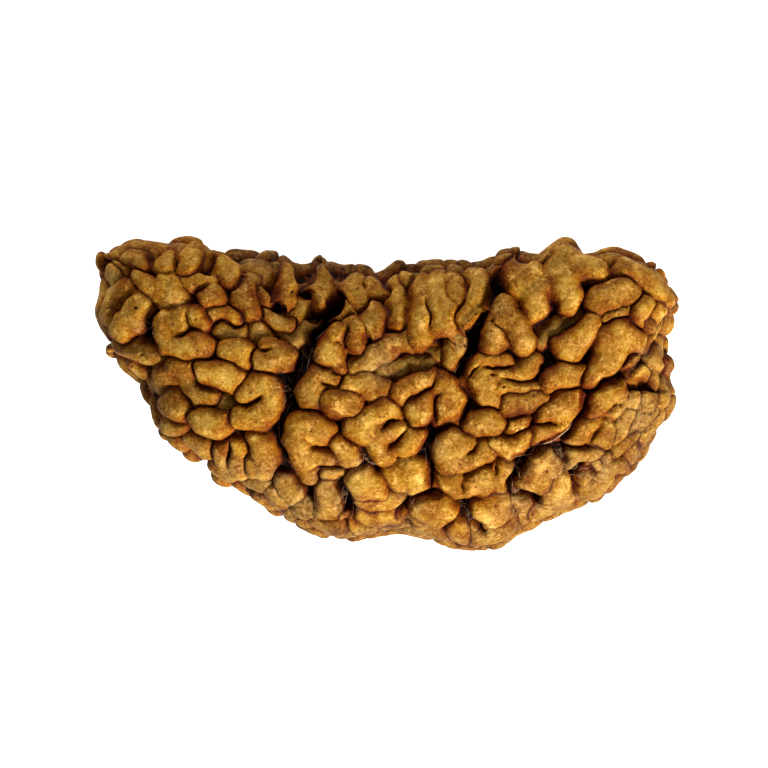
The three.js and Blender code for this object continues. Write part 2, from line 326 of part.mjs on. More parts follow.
// The seed's own dividing line, a furrow that winds along the convex edge a little behind the rim
const SEAM = [
  [-15.6, 3.4, -1.2], [-14.2, 1, -1.8], [-12.8, -1.6, -1.3], [-10.4, -4, -1.9], [-7.2, -5.9, -1.5],
  [-3.8, -7.6, -1.1], [-0.6, -7.9, -1.7], [3, -8.4, -1.2], [6.4, -8.3, -1.8], [9.2, -6.8, -1.3],
  [12.2, -5.4, -1.9], [14.6, -2.8, -1.4], [15.9, 0.2, -1.7], [15.9, 3.4, -1.2],
];

// How nodules fill the sides and the back: [radius, tries] from the widest to the finest
const SIZES = [
  [1.1, 60], [0.9, 150], [0.72, 300], [0.55, 500], [0.42, 900], [0.32, 1200],
];
const SEED = 1008;
const FILL = {
  ceiling: 3.6, // the front is full above this height
  room: 0.8, // these five are shares of the radius
  stepLength: 0.95,
  stepRoom: 0.62,
  selfRoom: 1.5,
  limbRadius: 0.85,
  mostSteps: 5,
  bend: 0.75,
  sink: 0.22,
  forkChance: 0.45,
  limbSteps: 2,
};

// Random numbers that come out the same every time
class Dice {
  constructor(seed) {
    this.state = seed;
  }

  roll() {
    this.state = (Math.imul(this.state, 1664525) + 1013904223) >>> 0;
    return this.state / 4294967296;
  }
}

const smoothStep = (t) => THREE.MathUtils.smoothstep(t, 0, 1);

function smoothMax(a, b, blend) {
  const mix = THREE.MathUtils.clamp(0.5 + (a - b) / (2 * blend), 0, 1);
  return b + (a - b) * mix + blend * mix * (1 - mix);
}

// Rim radius at every angle: a smooth curve through the rim's points
const rimKnots = RIM.map(([x, y]) => {
  const [dx, dy] = [x - MIDDLE.x, y - MIDDLE.y];
  return { angle: Math.atan2(dy, dx), radius: Math.hypot(dx, dy) };
}).sort((a, b) => a.angle - b.angle);

const rimKnot = (i) => {
  const turns = Math.floor(i / rimKnots.length);
  const { angle, radius } = rimKnots[i - turns * rimKnots.length];
  return { angle: angle + turns * 2 * Math.PI, radius };
};

const rimSlope = (i) => {
  const [before, after] = [rimKnot(i - 1), rimKnot(i + 1)];
  return (after.radius - before.radius) / (after.angle - before.angle);
};

function rimRadius(angle) {
  let i = rimKnots.findIndex((knot) => knot.angle > angle) - 1;
  if (i < -1) i = rimKnots.length - 1;
  const [from, to] = [rimKnot(i), rimKnot(i + 1)];
  const span = to.angle - from.angle;
  const t = (angle - from.angle) / span;
  const late = t * t * (3 - 2 * t);
  const leave = t * (1 - t) * (1 - t) * span * rimSlope(i);
  const arrive = t * t * (1 - t) * span * rimSlope(i + 1);
  return from.radius * (1 - late) + to.radius * late + leave - arrive + RIM_ALLOWANCE;
}

// The skin is the pillow round all nodule tops: 1 in this measure on it, 0 in the pillow's middle
function rimShare(x, y) {
  const [dx, dy] = [x - MIDDLE.x, y - MIDDLE.y];
  return Math.hypot(dx, dy) / rimRadius(Math.atan2(dy, dx));
}

function skinMeasure(place) {
  const across = rimShare(place.x, place.y) ** SQUARENESS;
  return across + (Math.abs(place.z) / HALF_THICKNESS) ** SQUARENESS;
}

function skinHeight(x, y) {
  const share = Math.min(rimShare(x, y), 1 - 1e-4); // still a little height at the rim itself
  return HALF_THICKNESS * (1 - share ** SQUARENESS) ** (1 / SQUARENESS);
}

function ontoSkin(place) {
  const scale = skinMeasure(place) ** (-1 / SQUARENESS);
  return place.clone().sub(MIDDLE).multiplyScalar(scale).add(MIDDLE);
}

function skinNormal(place) {
  const probe = 1e-3;
  const slope = (axis) => {
    const step = new THREE.Vector3().setComponent(axis, probe);
    return skinMeasure(place.clone().add(step)) - skinMeasure(place.clone().sub(step));
  };
  return new THREE.Vector3(slope(0), slope(1), slope(2)).normalize();
}

// Every outline sways a little, so that no nodule is a clean capsule
function sway(place) {
  const swayed = place.clone();
  for (const [axis, size, alongX, alongY, alongZ, phase] of SWAYS) {
    swayed[axis] += size * Math.sin(alongX * place.x + alongY * place.y + alongZ * place.z + phase);
  }
  return swayed;
}

// A row of balls, or a path where they have no radius, with height counted by its share
class Stroke {
  constructor(points, radii, heightShare) {
    this.heightShare = heightShare;
    this.points = points.map((p) => this.weigh(p));
    this.radii = radii;
    this.ball = new THREE.Sphere().setFromPoints(this.points);
    this.widest = Math.max(...radii);
  }

  weigh(place) {
    return new THREE.Vector3(place.x, place.y, place.z * this.heightShare);
  }

  // Calls use(distance, radius, length along the stroke) for each stretch between two balls
  measure(place, use) {
    const spot = new THREE.Vector3(place.x, place.y, place.z * this.heightShare);
    if (this.points.length === 1) {
      use(spot.distanceTo(this.points[0]), this.radii[0], 0);
      return;
    }
    let before = 0;
    for (let i = 0; i + 1 < this.points.length; i++) {
      const [start, end] = [this.points[i], this.points[i + 1]];
      const length = start.distanceTo(end);
      spot.sub(start);
      const ahead = (spot.dot(end) - spot.dot(start)) / length;
      const t = THREE.MathUtils.clamp(ahead / length, 0, 1);
      const aside = Math.max(0, spot.lengthSq() - ahead ** 2);
      const distance = Math.sqrt(aside + (ahead - t * length) ** 2);
      use(distance, THREE.MathUtils.lerp(this.radii[i], this.radii[i + 1], t), before + t * length);
      spot.add(start);
      before += length;
    }
  }

  // Room between a place and the balls
  clearance(place) {
    let least = Infinity;
    this.measure(place, (distance, radius) => {
      least = Math.min(least, distance - radius);
    });
    return least;
  }

  // Distance to the path, and how far that nearest place is from the path's closer end
  nearest(place) {
    let [least, at] = [Infinity, 0];
    this.measure(place, (distance, radius, along) => {
      if (distance < least) [least, at] = [distance, along];
    });
    return { distance: least, fromEnd: Math.min(at, this.length() - at) };
  }

  length() {
    return this.points.slice(1).reduce((sum, p, i) => sum + p.distanceTo(this.points[i]), 0);
  }

  isNear(place, reach) {
    return this.ball.center.distanceTo(this.weigh(place)) < this.ball.radius + this.widest + reach;
  }

  // Height of the rounded ridge over this row of balls, 0 at its top
  ridge(place) {
    let highest = -Infinity;
    this.measure(place, (distance, radius) => {
      const wide = radius + SPREAD;
      const share = Math.min(distance / wide, 1);
      const fall = 1 - (1 - share ** FULLNESS) ** (1 / FULLNESS);
      const below = FOOT_SLOPE * Math.max(0, distance - wide);
      const lower = NARROW.sink * Math.max(0, NARROW.fullRadius - radius);
      highest = Math.max(highest, -(LEAST_RISE + RISE_SHARE * wide) * fall - below - lower);
    });
    return highest;
  }
}

class Nodule {
  constructor(sink, strokes) {
    this.sink = sink;
    this.strokes = strokes;
  }

  height(place) {
    let height = -Infinity;
    for (const stroke of this.strokes) {
      if (!stroke.isNear(place, NODULE_REACH)) continue;
      const own = stroke.ridge(place) - this.sink;
      height = height === -Infinity ? own : smoothMax(height, own, FUSE_BLEND);
    }
    return height;
  }
}

const onFront = (x, y) => new THREE.Vector3(x, y, skinHeight(x, y));

// The place on the skin over one that is seen from the front, whose own surface lies deeper
function overSeen([x, y], sink = 0) {
  const place = onFront(x, y);
  const held = Math.max(SEEN.rimHold, rimShare(x, y));
  place.addScaledVector(skinNormal(place), SEEN.lean + SEEN.sinkShare * sink).sub(MIDDLE);
  place.divideScalar(Math.max(1, rimShare(place.x + MIDDLE.x, place.y + MIDDLE.y) / held)).add(MIDDLE);
  return sway(onFront(place.x, place.y));
}

const seenNodule = ([sink, ...strokes]) => new Nodule(sink, strokes.map((balls) =>
  new Stroke(balls.map((ball) => overSeen(ball, sink)), balls.map((ball) => ball[2]), FLANK)));
const frontPath = (points) => new Stroke(points.map((point) => overSeen(point)), points.map(() => 0), FLANK);

// Nodules filed by the cells of space that they reach, so that a place asks only those near it
class Register {
  constructor(cell, reach) {
    this.cell = cell;
    this.reach = reach;
    this.cells = new Map();
  }

  key(i, j, k) {
    return `${i},${j},${k}`;
  }

  add(nodule) {
    const box = new THREE.Box3();
    for (const { points, widest, heightShare } of nodule.strokes) {
      const grow = new THREE.Vector3(1, 1, 1 / heightShare).multiplyScalar(widest + this.reach);
      for (const point of points) {
        const real = new THREE.Vector3(point.x, point.y, point.z / heightShare);
        box.expandByPoint(real.clone().add(grow)).expandByPoint(real.sub(grow));
      }
    }
    const low = box.min.divideScalar(this.cell).floor();
    const high = box.max.divideScalar(this.cell).floor();
    for (let i = low.x; i <= high.x; i++) {
      for (let j = low.y; j <= high.y; j++) {
        for (let k = low.z; k <= high.z; k++) {
          const key = this.key(i, j, k);
          if (!this.cells.has(key)) this.cells.set(key, []);
          this.cells.get(key).push(nodule);
        }
      }
    }
  }

  near(place) {
    const { x, y, z } = place.clone().divideScalar(this.cell).floor();
    return this.cells.get(this.key(x, y, z)) ?? [];
  }
}

const nodules = new Register(1.5, NODULE_REACH);
for (const entry of FRONT_NODULES) nodules.add(seenNodule(entry));
const slits = SLITS.map(([halfWidth, share, path]) => ({ halfWidth, share, path: frontPath(path) }));
const hollows = HOLLOWS.map(([extra, path]) => ({ extra, path: frontPath(path) }));
const seamPoints = SEAM.map(([x, y, z]) => ontoSkin(new THREE.Vector3(x, y, z)));
const seam = new Stroke(seamPoints, seamPoints.map(() => SEAM_FURROW.halfWidth), 1);

// A place on the skin, drawn evenly over the egg
function randomPlace(dice) {
  const turn = dice.roll() * 2 * Math.PI;
  const rise = 2 * dice.roll() - 1;
  const out = Math.sqrt(1 - rise * rise);
  const ray = new THREE.Vector3(out * Math.cos(turn), out * Math.sin(turn), rise);
  return ontoSkin(ray.multiply(EGG).add(MIDDLE));
}

// Fills what the front's nodules leave bare with strokes that wander until they run out of room
function growNodules() {
  const dice = new Dice(SEED);
  const room = (place, least) => {
    if (seam.isNear(place, least) && seam.clearance(place) < least) return false;
    return nodules.near(place).every((nodule) =>
      nodule.strokes.every((stroke) => !stroke.isNear(place, least) || stroke.clearance(place) >= least));
  };
  const turned = (heading, normal, angle) => heading.clone().applyAxisAngle(normal, angle);
  const walk = (start, radius, heading, steps) => {
    const balls = [start];
    let way = heading;
    for (let i = 0; i < steps; i++) {
      const from = balls[balls.length - 1];
      const normal = skinNormal(from);
      way = turned(way.projectOnPlane(normal).normalize(), normal, (dice.roll() - 0.5) * 2 * FILL.bend);
      const next = ontoSkin(from.clone().addScaledVector(way, FILL.stepLength * radius));
      const crowded = balls.slice(0, -1).some((ball) => ball.distanceTo(next) < FILL.selfRoom * radius);
      if (crowded || !room(next, FILL.stepRoom * radius)) break;
      balls.push(next);
    }
    return balls;
  };
  for (const [radius, tries] of SIZES) {
    for (let i = 0; i < tries; i++) {
      const start = randomPlace(dice);
      const steps = Math.floor(dice.roll() * (FILL.mostSteps + 1));
      const heading = new THREE.Vector3(dice.roll() - 0.5, dice.roll() - 0.5, dice.roll() - 0.5);
      const sink = FILL.sink * dice.roll();
      const forks = dice.roll() < FILL.forkChance;
      if (start.z > FILL.ceiling || !room(start, FILL.room * radius)) continue;
      const main = walk(start, radius, heading, steps);
      const strokes = [new Stroke(main, main.map(() => radius), 1)];
      if (forks && main.length > 2) {
        const root = main[Math.floor(main.length / 2)];
        const normal = skinNormal(root);
        const side = turned(main[1].clone().sub(main[0]), normal, Math.PI / 2);
        const limbRadius = FILL.limbRadius * radius;
        const limb = walk(root, limbRadius, side, FILL.limbSteps);
        strokes.push(new Stroke(limb, limb.map(() => limbRadius), 1));
      }
      nodules.add(new Nodule(sink, strokes));
    }
  }
}

// How worn the surface is: 1 along the convex edge and 0 on both faces
function wear({ x, y, z }) {
  const alongRim = smoothStep((WORN.rimBand - Math.abs(z)) / WORN.rimFade);
  return alongRim * smoothStep((x - WORN.left) / WORN.leftFade) * smoothStep((WORN.top - y) / WORN.topFade);
}

// How far the real surface lies under the skin at a place on it, and how near a crease is
function relief(place) {
  const spot = sway(place);
  let [first, second] = [-9, -9];
  for (const nodule of nodules.near(spot)) {
    const height = nodule.height(spot);
    if (height > first) [first, second] = [height, first];
    else if (height > second) second = height;
  }
  let floor = GROOVE_DEPTH;
  const pressed = THREE.MathUtils.clamp(1 - (first - second) / CREASE_REACH, 0, 1);
  let depth = CREASE_DEPTH * pressed ** 2 - first;
  for (const { extra, path } of hollows) {
    if (!path.isNear(spot, HOLLOW.reach)) continue;
    const { distance } = path.nearest(spot);
    floor = Math.max(floor, GROOVE_DEPTH + extra * smoothStep(1 - distance / HOLLOW.reach));
    depth += HOLLOW.sinkShare * extra * smoothStep(1 - distance / HOLLOW.sinkReach);
  }
  depth += SEAM_FURROW.depth * smoothStep(1 - seam.clearance(spot) / SEAM_FURROW.fade);
  depth = -smoothMax(-depth, -floor, FLOOR_BLEND);
  depth += WORN.share * wear(place) * (WORN.level - depth);
  for (const { halfWidth, share, path } of slits) {
    const reach = halfWidth + SLIT.shoulder;
    if (!path.isNear(spot, reach)) continue;
    const { distance, fromEnd } = path.nearest(spot);
    const taper = THREE.MathUtils.lerp(SLIT.endShare, 1, smoothStep(fromEnd / SLIT.taper));
    depth += SLIT.depth * share * taper * smoothStep(1 - distance / reach);
  }
  return { depth, toCrease: first - Math.max(second, -floor) };
}

// Corners already placed, filed by cells of space
class Crowd {
  constructor(cell) {
    this.cell = cell;
    this.cells = new Map();
  }

  cellOf(place) {
    return place.clone().divideScalar(this.cell).floor();
  }

  add(place) {
    const key = this.cellOf(place).toArray().join();
    if (!this.cells.has(key)) this.cells.set(key, []);
    this.cells.get(key).push(place);
  }

  // Whether some corner stands within a distance no larger than a cell
  isWithin(place, distance) {
    const { x, y, z } = this.cellOf(place);
    for (let i = x - 1; i <= x + 1; i++) {
      for (let j = y - 1; j <= y + 1; j++) {
        for (let k = z - 1; k <= z + 1; k++) {
          const others = this.cells.get([i, j, k].join()) ?? [];
          if (others.some((other) => other.distanceTo(place) < distance)) return true;
        }
      }
    }
    return false;
  }
}

// The nearest place on a crease, or null where there is none within reach
function creaseBeside(place) {
  const [probe, step, steps, near] = [0.04, 0.06, 7, 0.12]; // the last is a difference of height
  const normal = skinNormal(place);
  const across = new THREE.Vector3(normal.y, normal.z, normal.x).projectOnPlane(normal).normalize();
  const up = new THREE.Vector3().crossVectors(normal, across);
  const here = relief(place).toCrease;
  const slopeAlong = (way) => relief(place.clone().addScaledVector(way, probe)).toCrease - here;
  const way = across.multiplyScalar(-slopeAlong(across));
  way.addScaledVector(up, -slopeAlong(up));
  if (way.lengthSq() === 0) return null;
  way.normalize();
  const at = (distance) => relief(place.clone().addScaledVector(way, distance)).toCrease;
  let [best, least] = [0, here];
  for (let i = 1; i <= steps; i++) {
    const value = at(step * i);
    if (value < least) [best, least] = [step * i, value];
    else if (least < near) break;
  }
  for (const nudge of [-0.5, 0.5, -0.25, 0.25]) {
    const value = at(best + nudge * step);
    if (value < least) [best, least] = [best + nudge * step, value];
  }
  return least < near ? ontoSkin(place.clone().addScaledVector(way, best)) : null;
}

function placeCorners() {
  const dice = new Dice(SEED);
  const corners = [];
  const widest = 1.25 * FACETS.fillGap;
  const creases = new Crowd(widest);
  const fill = new Crowd(widest);
  const gap = (size, place) => size * (1 - (FACETS.finerInFront * place.z) / HALF_THICKNESS);
  for (let i = 0; i < FACETS.creaseTries; i++) {
    const place = creaseBeside(randomPlace(dice));
    if (!place || creases.isWithin(place, gap(FACETS.creaseGap, place))) continue;
    creases.add(place);
    corners.push(place);
  }
  const onCrease = corners.length;
  for (let i = 0; i < FACETS.fillTries && corners.length < FACETS.mostCorners; i++) {
    const place = randomPlace(dice);
    if (creases.isWithin(place, gap(FACETS.besideCrease, place))) continue;
    if (fill.isWithin(place, gap(FACETS.fillGap, place))) continue;
    fill.add(place);
    corners.push(place);
  }
  return { corners, onCrease };
}

// Moves each corner that isn't on a crease to the middle of those round it
function evenOut(corners, onCrease) {
  const triangles = joinCorners(corners);
  const sums = corners.map(() => new THREE.Vector3());
  const counts = corners.map(() => 0);
  triangles.forEach((corner, i) => {
    const next = triangles[i % 3 === 2 ? i - 2 : i + 1];
    sums[corner].add(corners[next]);
    counts[corner] += 1;
  });
  for (let i = onCrease; i < corners.length; i++) {
    corners[i].copy(ontoSkin(sums[i].divideScalar(counts[i])));
  }
}

// Joins the corners with triangles: a hull round them on the sphere, mended to be even on the skin
function joinCorners(corners) {
  const onSphere = corners.map((corner) => corner.clone().sub(MIDDLE).divide(EGG).normalize());
  const numbers = new Map(onSphere.map((point, i) => [point, i]));
  // For each directed side, filed as from * total + to, the third corner of its triangle
  const tips = new Map();
  const total = corners.length;
  const setTriangle = (a, b, c) => {
    tips.set(a * total + b, c);
    tips.set(b * total + c, a);
    tips.set(c * total + a, b);
  };
  for (const face of new ConvexHull().setFromPoints(onSphere).faces) {
    const { edge } = face;
    setTriangle(...[edge, edge.next, edge.next.next].map((each) => numbers.get(each.head().point)));
  }
  const arrow = (from, to) => corners[to].clone().sub(corners[from]);
  const angleAt = (tip, a, b) => arrow(tip, a).angleTo(arrow(tip, b));
  const waiting = [...tips.keys()];
  while (waiting.length) {
    const key = waiting.pop();
    const [a, b] = [Math.floor(key / total), key % total];
    if (!tips.has(key)) continue;
    const [c, d] = [tips.get(key), tips.get(b * total + a)];
    const isEven = angleAt(c, a, b) + angleAt(d, a, b) < Math.PI + 1e-6;
    if (isEven || tips.has(c * total + d)) continue;
    tips.delete(key);
    tips.delete(b * total + a);
    setTriangle(a, d, c);
    setTriangle(d, b, c);
    waiting.push(a * total + d, d * total + b, b * total + c, c * total + a);
  }
  const triangles = [];
  for (const [key, c] of tips) {
    const [a, b] = [Math.floor(key / total), key % total];
    if (a < b && a < c) triangles.push(a, b, c);
  }
  return triangles;
}

function buildStone() {
  const { corners, onCrease } = placeCorners();
  for (let round = 0; round < FACETS.eveningRounds; round++) evenOut(corners, onCrease);
  const bottom = -HALF_THICKNESS + FLAT_CUT;
  const places = corners.flatMap((corner) => {
    const fromSpot = Math.hypot(corner.x - MIDDLE.x, corner.y - MIDDLE.y);
    const bare = corner.z < 0 ? smoothStep((fromSpot - BARE_SPOT.radius) / BARE_SPOT.fade) : 1;
    const place = corner.clone().addScaledVector(skinNormal(corner), -bare * relief(corner).depth);
    place.z = Math.max(place.z, bottom) - bottom;
    return place.sub(MIDDLE).toArray();
  });
  const geometry = new THREE.BufferGeometry();
  geometry.setAttribute("position", new THREE.Float32BufferAttribute(places, 3));
  geometry.setIndex(joinCorners(corners));
  geometry.computeVertexNormals();
  return geometry;
}

growNodules();
const shell = new THREE.MeshStandardMaterial({ color: 0xa8742a, roughness: 0.62, metalness: 0 });
const stone = new THREE.Mesh(buildStone(), shell);
stone.name = "rudraksha_seed";

const seed = new THREE.Group();
seed.add(stone);
export default seed;
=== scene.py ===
"""Looks of a rudraksha seed: its nodular shell, the dry pulp left in its valleys, and a plain studio.

Shapes are given in millimetres, with x to the seed's right end, y to its hollow edge, and z up from the
plane of its rim. Meshes are made in metres in the part's frame, whose origin is the flat spot underneath.
"""

import logging
from collections.abc import Iterator
from dataclasses import dataclass, field
from enum import Enum
from functools import cached_property

import bpy
import numpy as np
from mathutils import Color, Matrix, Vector

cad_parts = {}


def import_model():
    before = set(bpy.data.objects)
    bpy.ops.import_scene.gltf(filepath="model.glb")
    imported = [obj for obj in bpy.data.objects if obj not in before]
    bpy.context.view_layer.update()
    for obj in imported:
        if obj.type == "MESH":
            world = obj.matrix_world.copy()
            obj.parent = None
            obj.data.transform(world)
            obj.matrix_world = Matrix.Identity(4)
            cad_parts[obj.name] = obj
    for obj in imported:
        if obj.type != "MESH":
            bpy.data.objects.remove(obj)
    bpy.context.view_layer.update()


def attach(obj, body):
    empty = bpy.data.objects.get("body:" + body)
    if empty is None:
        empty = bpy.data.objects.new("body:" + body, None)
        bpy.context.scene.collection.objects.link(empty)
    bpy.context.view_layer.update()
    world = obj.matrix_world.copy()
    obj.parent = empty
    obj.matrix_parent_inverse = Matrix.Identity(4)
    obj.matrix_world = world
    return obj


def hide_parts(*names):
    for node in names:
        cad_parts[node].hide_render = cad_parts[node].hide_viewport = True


LOG = logging.getLogger("rudraksha")
MM = 0.001  # metres in a millimetre
BODY = "root"
FAR_BELOW = -9.0  # a height for where no nodule reaches
TINY = 1e-12  # keeps a length from being nought
FULL_BYTE = 255
AVERAGE = 0.5  # of noise and of the grain's shade
MIX_INPUTS = (0, 6, 7)  # numbers of the factor and both colours on Blender's Mix node
MIX_RESULT = 2
Array = np.ndarray
Socket = bpy.types.NodeSocket

# Driving dimensions of the form
MIDDLE = (0.7, 0.7, 0.0)  # of the pillow and of the flat spot
EGG = (16.0, 8.6, 5.75)  # half sizes of the plain egg that the pillow is stretched from
HALF_THICKNESS = 5.75
FLAT_CUT = 0.16  # how much of the back's lowest nodules the flat spot takes off
BARE_RADIUS = 1.2  # of the spot worn smooth underneath
BARE_FADE = 1.3

# The rim seen from the front, round the outermost nodule tops, anticlockwise from the right end
RIM = [
    [16.25, 5.2], [15.7, 6.3], [14.95, 7.3], [13.6, 7.95], [12.2, 8.3], [11.2, 8.1], [10.2, 8.7], [9.3, 8.55],
    [8.3, 7.75], [7.2, 8.25], [6.2, 8.1], [5.1, 7.5], [3.4, 7.55], [1.8, 7.4], [0.6, 7.35], [-0.3, 6.75],
    [-1.6, 7.2], [-2.5, 7.1], [-3.5, 7.75], [-4.6, 7.2], [-5.7, 7.95], [-7.5, 7.95], [-9.2, 8.15],
    [-10.35, 8.75], [-12, 8.7], [-13.7, 8.8], [-14.9, 8.45], [-15.9, 7.85], [-15.95, 6.65], [-15.95, 5.6],
    [-16.2, 4.6], [-15.8, 3.3], [-15.65, 2.2], [-14.7, 1.3], [-13.8, 0.6], [-13.3, -0.4], [-13.05, -1.5],
    [-12.45, -2.45], [-11.3, -3.5], [-10.3, -4.2], [-9.3, -4.95], [-8.05, -5.6], [-6.85, -6.25],
    [-5.7, -7.05], [-4, -7.85], [-2.4, -8.3], [-0.8, -8], [0.8, -7.85], [2.35, -8.25], [4.4, -8.75],
    [6.3, -8.7], [7.3, -7.95], [8.75, -7.25], [10.2, -6.6], [11.8, -6.05], [12.8, -5.15], [14, -4.1],
    [14.9, -2.6], [15.7, -1.35], [16.15, 0], [15.8, 0.8], [15.9, 1.6], [15.75, 2.6], [15.95, 4],
]

# Nodules of the front face, read one by one. Each is [how far its top sinks, stroke, fused stroke, ...],
# and a stroke is a row of balls [x, y, radius].
UPPER_LEFT = [
    [0.2, [[-15.6, 7.75, 0.2], [-15, 8.05, 0.3], [-14, 8.35, 0.4], [-13, 8.4, 0.42], [-12, 8.35, 0.38],
        [-11.4, 8.2, 0.25]], [[-13.1, 8.3, 0.35], [-13.05, 7.8, 0.14]]],
    [0.1, [[-14.35, 7.7, 0.5], [-13.65, 7.45, 0.55]]],
    [0.1, [[-11.98, 7.75, 0.42], [-12.3, 7.3, 0.48]]],
    [0, [[-10.75, 8.1, 0.45], [-10.85, 7.5, 0.6], [-11.05, 7.15, 0.48]]],
    [0.35, [[-15.35, 7.55, 0.17], [-14.95, 7.2, 0.2], [-14.5, 6.8, 0.19]]],
    [0.3, [[-15.5, 6.8, 0.35], [-15.15, 6.55, 0.42]]],
    [0.1, [[-13.85, 4.95, 0.72], [-14.45, 4.2, 0.85], [-15, 3.7, 0.6]], [[-14.6, 5.85, 0.42],
        [-15.2, 5.4, 0.5], [-15.65, 4.7, 0.42], [-15.75, 4.2, 0.35]]],
    [0.15, [[-13.65, 6.5, 0.4], [-13.1, 6, 0.5], [-12.75, 5.65, 0.42], [-12.5, 6.25, 0.4]],
        [[-11.8, 6.35, 0.32], [-11.8, 5.75, 0.52], [-11.55, 5.35, 0.5], [-12.2, 5.2, 0.3]]],
    [0.2, [[-11.2, 6.35, 0.22], [-10.85, 6.1, 0.34], [-10.2, 6.4, 0.34], [-9.7, 6.35, 0.34]],
        [[-9.6, 5.75, 0.45], [-9.85, 5.35, 0.5], [-9.4, 5.3, 0.38]]],
    [0.3, [[-10.2, 8.35, 0.25], [-9.85, 8.25, 0.3], [-9.6, 7.95, 0.2]]],
    [0, [[-11.6, 4.15, 0.62], [-11.5, 3.85, 0.5]], [[-12.35, 4.05, 0.4], [-12.5, 3.3, 0.5],
        [-12.05, 2.85, 0.55], [-11.2, 2.65, 0.6], [-10.4, 2.75, 0.72]], [[-10.65, 4.3, 0.48],
        [-10.35, 3.95, 0.4]]],
]
LEFT_FLANK = [
    [0.45, [[-15.35, 2.7, 0.3], [-15, 2.25, 0.5], [-14.2, 2.1, 0.85], [-13.3, 1.95, 0.75]]],
    [0.5, [[-13.65, 0.75, 0.2], [-13.4, 0.4, 0.3], [-13.1, 0, 0.22]]],
    [0.15, [[-11.85, 1.5, 0.4], [-11.3, 1.4, 0.48], [-11.25, 0.8, 0.42], [-11.1, 0.3, 0.4],
        [-10.5, -0.12, 0.5], [-9.85, 0, 0.52]], [[-12.65, 0.65, 0.5], [-12.2, 0.95, 0.38]]],
    [0, [[-12, -0.6, 0.9], [-11.8, -0.7, 0.85]]],
    [0.15, [[-12.4, -1.85, 0.45], [-11.9, -1.95, 0.42]]],
    [0, [[-10.2, -1.6, 0.78], [-9.5, -1.75, 0.76]]],
    [0.4, [[-11, -2.85, 0.38], [-10.45, -3.2, 0.6], [-10.3, -3.45, 0.45]]],
    [0.45, [[-8.95, -0.5, 0.48]]],
    [0, [[-10, 1.2, 0.6], [-9.2, 0.95, 0.75], [-8.65, 0.85, 0.62]]],
    [0, [[-7.85, 0, 0.45], [-7.35, 0.4, 0.5], [-6.85, 0.45, 0.58], [-6.4, 0, 0.55], [-6.4, -0.6, 0.58],
        [-6.9, -1.25, 0.62], [-7.6, -1.45, 0.52], [-8.2, -1.25, 0.5]]],
    [0.1, [[-8.75, 2.3, 0.5], [-8.15, 2.45, 0.6], [-7.9, 2, 0.48], [-7.88, 1.65, 0.3]]],
    [0.1, [[-7, 1.75, 0.5], [-6.3, 2, 0.65], [-5.65, 2.05, 0.55], [-5.6, 1.65, 0.35]], [[-6.7, 2.65, 0.2],
        [-6.3, 2.7, 0.15]]],
    [0.35, [[-9.8, 4.25, 0.38], [-9.25, 4.58, 0.38], [-8.65, 4.4, 0.4], [-8.25, 4.15, 0.3]]],
    [0.45, [[-9.25, 3.6, 0.48], [-8.8, 3.4, 0.4]], [[-8.1, 3.4, 0.42]]],
    [0.5, [[-7.2, 3.65, 0.5], [-6.95, 3.35, 0.45]]],
]
NOTCH = [
    [0.1, [[-9, 7.45, 0.6], [-8.55, 7.1, 0.8], [-8.5, 6.6, 0.55]]],
    [0.35, [[-7.6, 7.5, 0.36], [-7, 7.3, 0.38], [-6.78, 6.8, 0.33], [-6.68, 6.4, 0.2]]],
    [0.25, [[-7.35, 6.5, 0.38], [-7.9, 5.8, 0.6], [-7.8, 5.1, 0.6], [-7.55, 4.55, 0.45]]],
    [0.4, [[-6.75, 5.8, 0.28], [-6.62, 5.3, 0.28]]],
    [0.55, [[-6.6, 4.45, 0.4], [-6.05, 4.1, 0.55], [-5.55, 3.9, 0.33]]],
    [0.75, [[-4.8, 3.5, 0.38], [-5, 2.9, 0.38], [-5.45, 3.1, 0.25]]],
    [0.15, [[-5.3, 7.1, 0.42], [-5.5, 6.4, 0.48], [-5.5, 5.8, 0.42], [-5.5, 5.35, 0.25]]],
    [0.6, [[-6.25, 7.5, 0.3], [-5.7, 7.55, 0.3]]],
    [0.45, [[-4.7, 5.05, 0.3], [-4.75, 4.75, 0.36]]],
    [0.55, [[-4.45, 6.95, 0.3], [-4.35, 6.5, 0.25]]],
    [0.15, [[-3.7, 6.95, 0.35], [-3.5, 6.25, 0.45], [-3.5, 5.6, 0.4], [-3.7, 5.1, 0.25]]],
    [0.7, [[-3.95, 7.25, 0.22], [-3.4, 7.35, 0.33], [-2.95, 7.1, 0.22]]],
    [1.1, [[-4.15, 4.15, 0.3]]],
]
